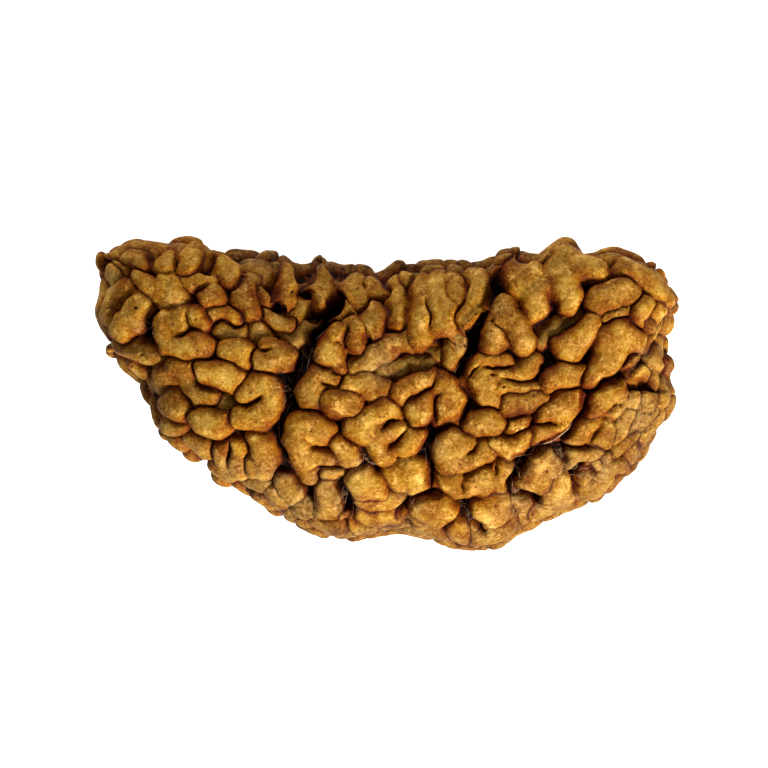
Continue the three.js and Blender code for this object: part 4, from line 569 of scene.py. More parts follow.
@dataclass
class Nodule:
    """One rounded ridge, or several fused, that stands up from the groove floor."""

    sink: float
    strokes: list[Stroke]
    spread: float = 0.33  # how far its foot runs out past its listed radius
    fullness: float = 2.4  # of its cross-section, where 2 would be an ellipse
    least_rise: float = 0.25
    rise_share: float = 0.85
    foot_slope: float = 2.0
    fuse_blend: float = 0.12
    full_radius: float = 0.65  # narrower parts of a ridge stand lower
    narrow_sink: float = 0.3

    def ridge(self, distances: Array, radii: Array) -> Array:
        """Height of the rounded cross-section.

        Args:
            distances: From the ridge's middle line.
            radii: Of the ridge, at each of them.

        Returns:
            0 at its top, and less outwards.
        """
        wide = radii + self.spread
        share = np.minimum(distances / wide, 1)
        fall = 1 - (1 - share**self.fullness) ** (1 / self.fullness)
        below = self.foot_slope * np.maximum(0, distances - wide)
        lower = self.narrow_sink * np.maximum(0, self.full_radius - radii)
        return -(self.least_rise + self.rise_share * wide) * fall - below - lower

    def heights(self, places: Array) -> Array:
        """The nodule's height over each place.

        Args:
            places: Places on the skin, one a row.

        Returns:
            Heights counted from the skin, so mostly less than 0.
        """
        fused = None
        for stroke in self.strokes:
            ridges = [self.ridge(distances, radii) for distances, radii, _ in stroke.stretches(places)]
            own = np.max(ridges, axis=0) - self.sink
            fused = own if fused is None else smooth_max(fused, own, self.fuse_blend)
        return fused

    def reach(self, margin: float) -> tuple[Array, Array]:
        """Lowest and highest corner of the space that the nodule shapes."""
        corners = [stroke.reach(margin) for stroke in self.strokes]
        return np.min([low for low, _ in corners], axis=0), np.max([high for _, high in corners], axis=0)


@dataclass
class Dice:
    """Random numbers that come out the same every time, and as in the part's own solid."""

    state: int
    factor: int = 1664525
    step: int = 1013904223
    period: int = 2**32

    def roll(self) -> float:
        """The next number, from 0 up to 1."""
        self.state = (self.state * self.factor + self.step) % self.period
        return self.state / self.period


@dataclass
class Overgrowth:
    """Fills what the front's nodules leave bare with strokes that wander until they run out of room."""

    pillow: Pillow
    egg: Array
    seed: int = 1008
    ceiling: float = 3.6  # the front is full above this height
    room: float = 0.8  # these five are shares of the radius
    step_length: float = 0.95
    step_room: float = 0.62
    self_room: float = 1.5
    limb_radius: float = 0.85
    most_steps: int = 5
    bend: float = 0.75
    sink: float = 0.22
    fork_chance: float = 0.45
    limb_steps: int = 2
    most_stretches: int = 8000
    starts: Array = field(init=False)
    ends: Array = field(init=False)
    weights: Array = field(init=False)
    radii: Array = field(init=False)
    filled: int = 0

    def __post_init__(self) -> None:
        """Makes room for the stretches that strokes take up."""
        self.starts, self.ends, self.weights = (np.zeros((self.most_stretches, 3)) for _ in range(3))
        self.radii = np.zeros((self.most_stretches, 2))

    def take(self, stroke: Stroke) -> None:
        """Counts the room that a stroke takes up.

        Args:
            stroke: On the skin.
        """
        last = len(stroke.points) - 1
        for start in range(max(last, 1)):
            end = min(start + 1, last)
            self.starts[self.filled] = stroke.points[start] * stroke.weights
            self.ends[self.filled] = stroke.points[end] * stroke.weights
            self.weights[self.filled] = stroke.weights
            self.radii[self.filled] = stroke.radii[start], stroke.radii[end]
            self.filled += 1

    def has_room(self, place: Array, least: float) -> bool:
        """Whether a place is clear of every stroke taken so far.

        Args:
            place: On the skin.
            least: The clearance that it needs.

        Returns:
            True where it has that clearance.
        """
        starts = self.starts[: self.filled]
        ways = self.ends[: self.filled] - starts
        first, last = self.radii[: self.filled].T
        lengths = np.maximum((ways * ways).sum(axis=1), TINY)
        offsets = place * self.weights[: self.filled] - starts
        t = np.clip((offsets * ways).sum(axis=1) / lengths, 0, 1)
        distances = np.linalg.norm(offsets - t[:, None] * ways, axis=1)
        return bool(np.all(distances - first - (last - first) * t >= least))

    def onto(self, place: Array) -> Array:
        """One place, moved onto the skin."""
        return self.pillow.onto(place[None])[0]

    def normal(self, place: Array) -> Array:
        """The skin's outward direction at one place."""
        return self.pillow.normals(place[None])[0]

    @staticmethod
    def turned(heading: Array, axis: Array, angle: float) -> Array:
        """A heading turned about an axis."""
        cosine, sine = np.cos(angle), np.sin(angle)
        return heading * cosine + np.cross(axis, heading) * sine + axis * (axis @ heading) * (1 - cosine)

    def walk(self, dice: Dice, start: Array, radius: float, heading: Array, steps: int) -> list[Array]:
        """Steps over the skin until there is no more room.

        Args:
            dice: Draws one number a step.
            start: The first ball.
            radius: Of every ball.
            heading: The first direction.
            steps: The most steps that it takes.

        Returns:
            The balls' places, the start among them.
        """
        balls = [start]
        for _ in range(steps):
            here = balls[-1]
            normal = self.normal(here)
            flat = heading - normal * (heading @ normal)
            heading = self.turned(flat / np.linalg.norm(flat), normal, (dice.roll() - 0.5) * 2 * self.bend)
            there = self.onto(here + heading * self.step_length * radius)
            crowded = any(np.linalg.norm(ball - there) < self.self_room * radius for ball in balls[:-1])
            if crowded or not self.has_room(there, self.step_room * radius):
                break
            balls.append(there)
        return balls

    def grow(self, sizes: list[list[float]]) -> list[Nodule]:
        """Grows nodules of each size in turn.

        Args:
            sizes: Pairs of a radius and how many tries it gets.

        Returns:
            The nodules that found room.
        """
        dice = Dice(self.seed)
        grown = []
        for radius, tries in sizes:
            for _ in range(int(tries)):
                turn = dice.roll() * 2 * np.pi
                rise = 2 * dice.roll() - 1
                out = np.sqrt(1 - rise * rise)
                ray = np.array([out * np.cos(turn), out * np.sin(turn), rise])
                start = self.onto(ray * self.egg + self.pillow.middle)
                steps = int(dice.roll() * (self.most_steps + 1))
                heading = np.array([dice.roll() - 0.5, dice.roll() - 0.5, dice.roll() - 0.5])
                sink = self.sink * dice.roll()
                forks = dice.roll() < self.fork_chance
                if start[2] > self.ceiling or not self.has_room(start, self.room * radius):
                    continue
                main = self.walk(dice, start, radius, heading, steps)
                strokes = [Stroke(np.array(main), np.full(len(main), radius))]
                if forks and len(main) > 2:
                    root = main[len(main) // 2]
                    side = self.turned(main[1] - main[0], self.normal(root), np.pi / 2)
                    limb = self.walk(dice, root, self.limb_radius * radius, side, self.limb_steps)
                    strokes.append(Stroke(np.array(limb), np.full(len(limb), self.limb_radius * radius)))
                for stroke in strokes:
                    self.take(stroke)
                grown.append(Nodule(sink, strokes))
        return grown


@dataclass
class LatticeNoise:
    """Smooth random values in space, from a small seeded block of numbers that repeats."""

    seed: int
    side: int = 32
    block: Array = field(init=False)

    def __post_init__(self) -> None:
        """Draws the block."""
        self.block = np.random.default_rng(self.seed).uniform(-1, 1, (self.side,) * 3)

    def at(self, places: Array, wavelength: float) -> Array:
        """Reads the noise.

        Args:
            places: One a row, in millimetres.
            wavelength: From one drawn number to the next, in millimetres.

        Returns:
            One value from -1 to 1 for each place.
        """
        spots = places / wavelength
        cells = np.floor(spots).astype(int)
        inner = smooth_step(spots - cells)
        total = np.zeros(len(places))
        for corner in np.ndindex(2, 2, 2):
            share = np.prod(np.where(corner, inner, 1 - inner), axis=1)
            x, y, z = ((cells + corner) % self.side).T
            total += share * self.block[x, y, z]
        return total


@dataclass
class Slabs:
    """Places in the order of their x, so that those near a path are soon found."""

    places: Array
    order: Array = field(init=False)
    sorted_x: Array = field(init=False)

    def __post_init__(self) -> None:
        """Sorts once."""
        self.order = np.argsort(self.places[:, 0])
        self.sorted_x = self.places[self.order, 0]

    def within(self, low: Array, high: Array) -> Array:
        """Finds the places inside a box.

        Args:
            low: The box's lowest corner.
            high: Its highest corner.

        Returns:
            The places' row numbers.
        """
        start, end = np.searchsorted(self.sorted_x, [low[0], high[0]])
        slab = self.order[start:end]
        rest = self.places[slab][:, 1:]
        return slab[np.all((rest >= low[1:]) & (rest <= high[1:]), axis=1)]

    def beside(self, path: Stroke, reach: float) -> tuple[Array, Array, Array]:
        """Finds the places near a path, and measures them.

        Args:
            path: A bare path.
            reach: How far to look.

        Returns:
            The places' row numbers, their distances, and how far along they are from the path's closer end.
        """
        near = self.within(*path.reach(reach))
        distances, from_end = path.nearest(self.places[near])
        return near, distances, from_end


@dataclass
class Relief:
    """What the surface is like at each of many places on the skin."""

    depth: Array  # under the skin
    rise: Array  # 0 on the groove floor and 1 on a nodule's top
    sunk: Array  # how far the nodule's own top is under the skin
    crease: Array  # 1 where two nodules press together, or in a slit
    shoulder: Array  # the same, fading out further up each nodule; the finish paints shade at nodule edges by it
    tone: Array  # one random number for each nodule
    dust: Array  # 1 where pale dust clings
    far_side_shade: Array  # 1 on the far side of the hollow edge, where the finish paints shade
    worn_and_shaded: Array  # 1 along the convex rim, which the finish dulls and darkens: partly worn tan, partly painted shade


TRAITS = ("rise", "sunk", "crease", "shoulder", "tone", "dust", "far_side_shade", "worn_and_shaded")


@dataclass(frozen=True)
class HollowEdge:
    """Where the far side of the hollow edge, which faces away from the key light, gets painted shade."""

    start: float = 5.4  # along y
    fade: float = 1.2
    middle: float = -0.6  # along x
    half_length: float = 9.6
    highest: float = 3.4
    height_fade: float = 1.4

    def share(self, places: Array) -> Array:
        """How much each place lies there.

        Args:
            places: Places on the skin, one a row.

        Returns:
            One share for each, from 0 to 1.
        """
        behind = smooth_step((places[:, 1] - self.start) / self.fade)
        inner = smooth_step((self.half_length - np.abs(places[:, 0] - self.middle)) / self.fade)
        return behind * inner * smooth_step((self.highest - places[:, 2]) / self.height_fade)


@dataclass(frozen=True)
class ConvexEdge:
    """Where the convex rim runs, from below the left end to the right end."""

    start: float = -8.0  # along x
    start_fade: float = 3.0
    top: float = 1.5  # along y
    top_fade: float = 1.5

    def share(self, places: Array) -> Array:
        """How much each place lies there, from 0 to 1."""
        rightward = smooth_step((places[:, 0] - self.start) / self.start_fade)
        return rightward * smooth_step((self.top - places[:, 1]) / self.top_fade)


@dataclass(frozen=True)
class SlitShape:
    """How a slit cuts into a nodule: a narrow cut between rounded lips."""

    reach: float = 0.5
    depth: float = 0.34
    narrowness: float = 0.7  # of the cut, as a share of the slit's listed half width
    lip_depth: float = 0.14
    lip_reach: float = 0.32
    end_share: float = 0.35  # of the depth that is left at the slit's ends
    end_fade: float = 0.4
    line_reach: float = 1.15  # of the dark line, in half widths

    def taper(self, from_end: Array) -> Array:
        """What share of the depth is left at a length from the slit's closer end."""
        return self.end_share + (1 - self.end_share) * smooth_step(from_end / self.end_fade)

    def cut(self, distances: Array, half_width: float) -> Array:
        """How deep it is at a distance from its path."""
        narrow = self.depth * np.clip(1 - distances / (self.narrowness * half_width), 0, 1)
        return narrow + self.lip_depth * smooth_step(1 - distances / self.lip_reach)

    def line(self, distances: Array, half_width: float) -> Array:
        """How dark it is at a distance from its path, from 0 to 1."""
        return np.clip(self.line_reach - distances / half_width, 0, 1)


@dataclass(frozen=True)
class PitShape:
    """How a pit cuts into a nodule, all in shares of its listed radius."""

    reach: float = 2.0
    edge: float = 1.25
    depth: float = 1.1


@dataclass
class Form:
    """The seed's whole form: a pillow with nodules left standing between grooves cut into it."""

    pillow: Pillow
    groove_depth: float = 1.0
    crease_depth: float = 0.34
    crease_reach: float = 0.5
    shoulder_reach: float = 0.85
    line_reach: float = 0.3
    least_bond: float = 0.3  # how much of a crease the least parted nodules keep
    least_line: float = 0.88  # and how much of its dark line
    bond_blend: float = 0.28
    parted_blend: float = 0.02  # the share of that blend that fully parted nodules keep
    parting_seed: int = 6
    tone_seed: int = 5
    dust_bond: float = 0.5  # how much less nodules are parted where dust fills their creases
    rim_dust: float = 0.35
    rim_dust_top: float = 5.5  # along y
    dust_spread: float = 1.3  # of a dusty patch, in its listed radii
    rim_band: float = 3.2
    rim_fade: float = 1.5
    # Band of the convex rim that the finish dulls and darkens, partly as painted shade
    worn_and_shaded_band: float = 4.6
    worn_and_shaded_fade: float = 2.4
    wobble: float = 0.07
    wobble_length: float = 0.75
    wobble_seed: int = 40
    floor_blend: float = 0.08
    front_height_share: float = 0.4  # so that the front's nodules wrap round the rim
    lean: float = 0.18  # how deep nodules are seen at their sides
    sink_lean: float = 0.8
    rim_hold: float = 0.99
    worn_share: float = 0.5  # how much shallower grooves are along the convex rim
    worn_level: float = 0.3
    nodule_reach: float = 1.2
    hollow_reach: float = 0.7
    hollow_sink_reach: float = 0.55
    hollow_sink_share: float = 0.6
    hollow_low: float = 0.2  # height over the widest level where the hollows run out
    hollow_fade: float = 2.2
    seam_half_width: float = 0.22
    seam_fade: float = 0.35
    seam_depth: float = 0.35
    furrow_reach: float = 0.9
    gully_reach: float = 0.4
    gully_depth: float = 0.35
    slit: SlitShape = SlitShape()
    pit: PitShape = PitShape()
    hollow_edge: HollowEdge = HollowEdge()
    convex_edge: ConvexEdge = ConvexEdge()
    nodules: list[Nodule] = field(init=False)
    seam: Stroke = field(init=False)

    def __post_init__(self) -> None:
        """Lays the front's nodules and the seam, then grows the rest."""
        self.nodules = [self.front_nodule(entry) for entry in FRONT_NODULES]
        points = self.pillow.onto(np.array(SEAM, float))
        self.seam = Stroke(points, np.full(len(points), self.seam_half_width))
        growth = Overgrowth(self.pillow, np.array(EGG))
        growth.take(self.seam)
        for nodule in self.nodules:
            for stroke in nodule.strokes:
                growth.take(stroke)
        self.nodules += growth.grow(SIZES)

    def lifted(self, x: Array, y: Array) -> Array:
        """Places of the front on the skin."""
        return np.stack([x, y, self.pillow.height(x, y)], axis=1)

    def front_path(self, points: list[list[float]], sink: float = 0.0) -> Stroke:
        """A path over the front, on the skin above where it is seen.

        Args:
            points: Each is x, y and, where it has a third number, its radius.
            sink: How far under the skin it is seen.

        Returns:
            The path, moved as the form sways.
        """
        rows = np.array(points, float)
        seen = self.lifted(rows[:, 0], rows[:, 1])
        out = self.pillow.normals(seen) * (self.lean + self.sink_lean * sink)
        share = self.pillow.rim_share(seen[:, 0], seen[:, 1])
        held = np.maximum(share, self.rim_hold)
        moved = seen + out
        over = np.maximum(1, self.pillow.rim_share(moved[:, 0], moved[:, 1]) / held)
        flat = self.pillow.middle[:2] + (moved[:, :2] - self.pillow.middle[:2]) / over[:, None]
        radii = rows[:, 2] if rows.shape[1] > 2 else np.zeros(len(rows))
        return Stroke(self.swayed(self.lifted(flat[:, 0], flat[:, 1])), radii, self.front_height_share)

    def front_nodule(self, entry: list) -> Nodule:
        """A nodule of the front from its entry in the lists."""
        sink, *strokes = entry
        return Nodule(sink, [self.front_path(stroke, sink) for stroke in strokes])

    @staticmethod
    def swayed(places: Array) -> Array:
        """Moves places a little by slow waves, so that no nodule is a clean capsule.

        Args:
            places: One a row.

        Returns:
            The moved places.
        """
        moved = places.copy()
        for axis, waves in enumerate(SWAYS):
            for height, *rates, phase in waves:
                moved[:, axis] += height * np.sin(places @ np.array(rates) + phase)
        return moved

    def parting(self, leader: Array, runner_up: Array) -> Array:
        """Draws how deeply each two neighbours are parted, the same all along their crease.

        Args:
            leader: The number of the nodule that stands highest at each place.
            runner_up: The number of the next highest.

        Returns:
            One number from least_bond to 1 for each place.
        """
        draws = np.random.default_rng(self.parting_seed).uniform(size=(len(self.nodules),) * 2)
        low, high = np.minimum(leader, runner_up), np.maximum(leader, runner_up)
        return self.least_bond + (1 - self.least_bond) * draws[low, high]

    def along(self, paths: list, reach: float, slabs: Slabs) -> Array:
        """Feels for several paths.

        Args:
            paths: Each a list of x and y.
            reach: How far each is felt.
            slabs: The places.

        Returns:
            For each place, 1 on any of the paths, fading out to 0 at their reach.
        """
        share = np.zeros(len(slabs.places))
        for points in paths:
            near, distances, _ = slabs.beside(self.front_path(points), reach)
            share[near] = np.maximum(share[near], smooth_step(1 - distances / reach))
        return share

    def ranked(self, slabs: Slabs) -> tuple[Array, Array, Array, Array]:
        """Finds the two nodules that stand highest at each place.

        Args:
            slabs: The places.

        Returns:
            The two heights, and the numbers of the two nodules.
        """
        count = len(slabs.places)
        first, second = np.full(count, FAR_BELOW), np.full(count, FAR_BELOW)
        leader, runner_up = np.zeros(count, int), np.zeros(count, int)
        for number, nodule in enumerate(self.nodules):
            near = slabs.within(*nodule.reach(self.nodule_reach))
            if not len(near):
                continue
            heights = nodule.heights(slabs.places[near])
            leads = heights > first[near]
            led = near[leads]
            second[led], runner_up[led] = first[led], leader[led]
            first[led], leader[led] = heights[leads], number
            behind = near[~leads]
            follows = heights[~leads] > second[behind]
            trailing = behind[follows]
            second[trailing], runner_up[trailing] = heights[~leads][follows], number
        return first, second, leader, runner_up

    def dusted(self, places: Array, slabs: Slabs, rimward: Array) -> Array:
        """Lays pale dust along the rim and in its own patches.

        Args:
            places: Places on the skin.
            slabs: The same places, swayed.
            rimward: 1 on the rim's band and 0 off it.

        Returns:
            How dusty each place is, from 0 to 1.
        """
        dust = self.rim_dust * rimward * smooth_step(self.rim_dust_top - places[:, 1])
        for x, y, radius in DUST:
            near, distances, _ = slabs.beside(self.front_path([[x, y]]), radius)
            dust[near] = np.maximum(dust[near], smooth_step(self.dust_spread - distances / radius))
        return dust

    def cut_hollows(self, depth: Array, places: Array, slabs: Slabs) -> Array:
        """Sinks the hollows between nodules.

        Args:
            depth: Of the surface under the skin; it is changed in place.
            places: Places on the skin.
            slabs: The same places, swayed.

        Returns:
            How deep the groove floor is at each place.
        """
        floor = np.full(len(depth), self.groove_depth)
        frontward = smooth_step((places[:, 2] - self.hollow_low) / self.hollow_fade)
        for extra, points in HOLLOWS:
            near, distances, _ = slabs.beside(self.front_path(points), self.hollow_reach)
            held = extra * frontward[near]
            deepened = self.groove_depth + held * smooth_step(1 - distances / self.hollow_reach)
            floor[near] = np.maximum(floor[near], deepened)
            depth[near] += self.hollow_sink_share * held * smooth_step(1 - distances / self.hollow_sink_reach)
        return floor

    def cut_seam(self, depth: Array, slabs: Slabs) -> None:
        """Cuts the dividing line.

        Args:
            depth: Of the surface under the skin; it is changed in place.
            slabs: The places.
        """
        near = slabs.within(*self.seam.reach(self.seam_fade))
        clear = self.seam.clearance(slabs.places[near])
        depth[near] += self.seam_depth * smooth_step(1 - clear / self.seam_fade)

    def cut_slits(self, depth: Array, crease: Array, slabs: Slabs) -> None:
        """Cuts the slits into single nodules.

        Args:
            depth: Of the surface under the skin; it is changed in place.
            crease: How much of a dark line runs at each place; it is changed in place.
            slabs: The places.
        """
        for half_width, share, points in SLITS:
            near, distances, from_end = slabs.beside(self.front_path(points), self.slit.reach)
            taper = share * self.slit.taper(from_end)
            depth[near] += taper * self.slit.cut(distances, half_width)
            crease[near] = np.maximum(crease[near], taper * self.slit.line(distances, half_width))

    def cut_pits(self, depth: Array, crease: Array, slabs: Slabs) -> None:
        """Sinks the small pits.

        Args:
            depth: Of the surface under the skin; it is changed in place.
            crease: How dark it is at each place; it is changed in place.
            slabs: The places.
        """
        for x, y, radius in PITS:
            near, distances, _ = slabs.beside(self.front_path([[x, y]]), self.pit.reach * radius)
            hole = smooth_step(self.pit.edge - distances / radius)
            depth[near] += radius * self.pit.depth * hole
            crease[near] = np.maximum(crease[near], hole)

    def relief(self, places: Array) -> Relief:
        """Works out the surface at places on the skin.

        Args:
            places: One a row, in millimetres.

        Returns:
            How deep the surface is there, and what its finish needs to know.
        """
        spots = self.swayed(places)
        for axis in range(spots.shape[1]):
            noise = LatticeNoise(self.wobble_seed + axis)
            spots[:, axis] += self.wobble * noise.at(places, self.wobble_length)
        slabs = Slabs(spots)
        first, second, leader, runner_up = self.ranked(slabs)
        sinks = np.array([nodule.sink for nodule in self.nodules])
        sunk = np.where(first > FAR_BELOW, sinks[leader], 0.0)
        tone = np.random.default_rng(self.tone_seed).uniform(size=len(self.nodules))[leader]
        rimward = smooth_step((self.rim_band - np.abs(places[:, 2])) / self.rim_fade)
        dust = self.dusted(places, slabs, rimward)

        # Creases between neighbours
        parted = self.parting(leader, runner_up) * (1 - self.dust_bond * dust)
        parted = np.maximum(parted, self.along(FURROWS, self.furrow_reach, slabs))
        gap = first - second
        pressed = parted * np.clip(1 - gap / self.crease_reach, 0, 1)
        shoulder = parted * np.clip(1 - gap / self.shoulder_reach, 0, 1)
        darkness = self.least_line + (1 - self.least_line) * parted
        crease = darkness * np.clip(1 - gap / self.line_reach, 0, 1) * (first > -self.groove_depth)
        merged = smooth_max(first, second, self.bond_blend * (1 + self.parted_blend - parted))
        gully = self.along(FURROWS, self.gully_reach, slabs)
        depth = self.crease_depth * pressed**2 - merged + self.gully_depth * gully

        # Hollows, seam and floor, then wear, and last what is cut into single nodules
        floor = self.cut_hollows(depth, places, slabs)
        self.cut_seam(depth, slabs)
        depth = -smooth_max(-depth, -floor, self.floor_blend)
        convex = self.convex_edge.share(places)
        depth += self.worn_share * rimward * convex * (self.worn_level - depth)
        self.cut_slits(depth, crease, slabs)
        self.cut_pits(depth, crease, slabs)
        rise = np.clip(1 - (depth - sunk) / self.groove_depth, 0, 1)
        # Where the finish paints shade on the hollow edge's far side
        far_side_shade = self.hollow_edge.share(places)
        # Where the finish dulls and darkens the convex rim, partly as painted shade
        worn_and_shaded = convex * smooth_step((self.worn_and_shaded_band - np.abs(places[:, 2])) / self.worn_and_shaded_fade)
        return Relief(depth, rise, sunk, crease, shoulder, tone, dust, far_side_shade, worn_and_shaded)


def paint(code: str) -> tuple[float, float, float, float]:
    """A colour code such as #C99640 as the linear colour that shaders take."""
    shares = [level / FULL_BYTE for level in bytes.fromhex(code[1:])]
    return (*Color(shares).from_srgb_to_scene_linear(), 1.0)


class Blend(Enum):
    """How a colour is laid over another."""

    COVER = "MIX"
    DARKEN = "MULTIPLY"
    SOFT_LIGHT = "SOFT_LIGHT"


@dataclass(frozen=True)
class Span:
    """A range, and the range that it is stretched onto."""

    low: float
    high: float
    least: float = 0.0
    most: float = 1.0


@dataclass(frozen=True)
class Cloud:
    """Cloudy noise, and how it is stretched."""

    scale: float  # cells a metre
    span: Span
    detail: float = 2.0
    roughness: float = 0.5


@dataclass
class Wiring:
    """Adds nodes to one node tree and joins them."""

    tree: bpy.types.NodeTree

    @cached_property
    def places(self) -> Socket:
        """Where each point is on the object."""
        return self.node("TexCoord").outputs["Object"]

    def node(self, kind: str, inputs: dict[str, object] | None = None, **settings: object) -> bpy.types.Node:
        """Adds one node.

        Args:
            kind: Blender's name of the node, without its first word.
            inputs: Values or sockets by input name.
            settings: The node's own properties.

        Returns:
            The new node.
        """
        made = self.tree.nodes.new("ShaderNode" + kind)
        for name, value in settings.items():
            setattr(made, name, value)
        for name, value in (inputs or {}).items():
            self.feed(made.inputs[name], value)
        return made

    def feed(self, socket: Socket, value: object) -> None:
        """Gives an input its value.

        Args:
            socket: The input.
            value: A socket to link it to, or a plain value.
        """
        if isinstance(value, bpy.types.NodeSocket):
            self.tree.links.new(value, socket)
        else:
            socket.default_value = value

    def math(self, operation: str, *values: object, held: bool = True) -> Socket:
        """Works out a sum.

        Args:
            operation: Blender's name of it.
            values: One to three values or sockets.
            held: Whether the result is held between 0 and 1.

        Returns:
            The result.
        """
        made = self.node("Math", operation=operation, use_clamp=held)
        for socket, value in zip(made.inputs, values):
            self.feed(socket, value)
        return made.outputs[0]

    def times(self, first: Socket, second: object) -> Socket:
        """The product of two values, held between 0 and 1."""
        return self.math("MULTIPLY", first, second)

    def layer(self, share: object, under: object, over: object, blend: Blend = Blend.COVER) -> Socket:
        """Lays one colour over another.

        Args:
            share: How much of the upper colour shows.
            under: The lower colour.
            over: The upper colour.
            blend: The way of laying it.

        Returns:
            The colour that results.
        """
        made = self.node("Mix", data_type="RGBA", blend_type=blend.value)
        for number, value in zip(MIX_INPUTS, (share, under, over)):
            self.feed(made.inputs[number], value)
        return made.outputs[MIX_RESULT]

    def span(self, value: Socket, span: Span) -> Socket:
        """A value stretched smoothly from one range onto another."""
        ends = {"From Min": span.low, "From Max": span.high, "To Min": span.least, "To Max": span.most}
        return self.node("MapRange", {"Value": value, **ends}, interpolation_type="SMOOTHSTEP").outputs[0]

    def ramp(self, value: Socket, stops: tuple[tuple[float, str], ...]) -> Socket:
        """Makes a colour that follows a value.

        Args:
            value: From 0 to 1.
            stops: Values, rising, and the colour code at each.

        Returns:
            The colour.
        """
        made = self.node("ValToRGB", {"Fac": value})
        elements = made.color_ramp.elements
        while len(elements) < len(stops):
            elements.new(1.0)
        for element, (at, code) in zip(elements, stops):
            element.position = at
            element.color = paint(code)
        return made.outputs[0]

    def noise(self, scale: object, detail: float = 2.0, roughness: float = 0.5) -> Socket:
        """Cloudy noise, about 0.5 on average; the scale is in cells a metre."""
        inputs = {"Vector": self.places, "Scale": scale, "Detail": detail, "Roughness": roughness}
        return self.node("TexNoise", inputs).outputs["Fac"]

    def cloud(self, cloud: Cloud) -> Socket:
        """Cloudy noise, stretched."""
        return self.span(self.noise(cloud.scale, cloud.detail, cloud.roughness), cloud.span)

    def trait(self, name: str) -> Socket:
        """One of the mesh's own numbers."""
        return self.node("Attribute", attribute_name=name).outputs["Fac"]


@dataclass(frozen=True)
class DryGrain:
    """The fine grain of dry plant matter, as a group that each finish places with its own values."""

    detail: float = 3.0
    roughness: float = 0.65
    finer: float = 2.7  # how much smaller the fine noise is than the coarse
    coarse_share: float = 0.55
    fine_share: float = 0.45

    def group(self) -> bpy.types.NodeTree:
        """Makes the group: Scale and Contrast go in, Shade and Height come out.

        Returns:
            The group's node tree.
        """
        tree = bpy.data.node_groups.new("dry_grain", "ShaderNodeTree")
        sockets = (("Scale", "INPUT"), ("Contrast", "INPUT"), ("Shade", "OUTPUT"), ("Height", "OUTPUT"))
        for name, direction in sockets:
            tree.interface.new_socket(name, in_out=direction, socket_type="NodeSocketFloat")
        wiring = Wiring(tree)
        entry = tree.nodes.new("NodeGroupInput")
        ends = tree.nodes.new("NodeGroupOutput")
        coarse = wiring.noise(entry.outputs["Scale"], self.detail, self.roughness)
        finer = wiring.math("MULTIPLY", entry.outputs["Scale"], self.finer, held=False)
        fine = wiring.noise(finer)
        coarse_part = wiring.times(coarse, self.coarse_share)
        both = wiring.math("MULTIPLY_ADD", fine, self.fine_share, coarse_part)
        centred = wiring.math("SUBTRACT", both, AVERAGE, held=False)
        shade = wiring.math("MULTIPLY_ADD", centred, entry.outputs["Contrast"], AVERAGE)
        wiring.feed(ends.inputs["Shade"], shade)
        wiring.feed(ends.inputs["Height"], both)
        return tree


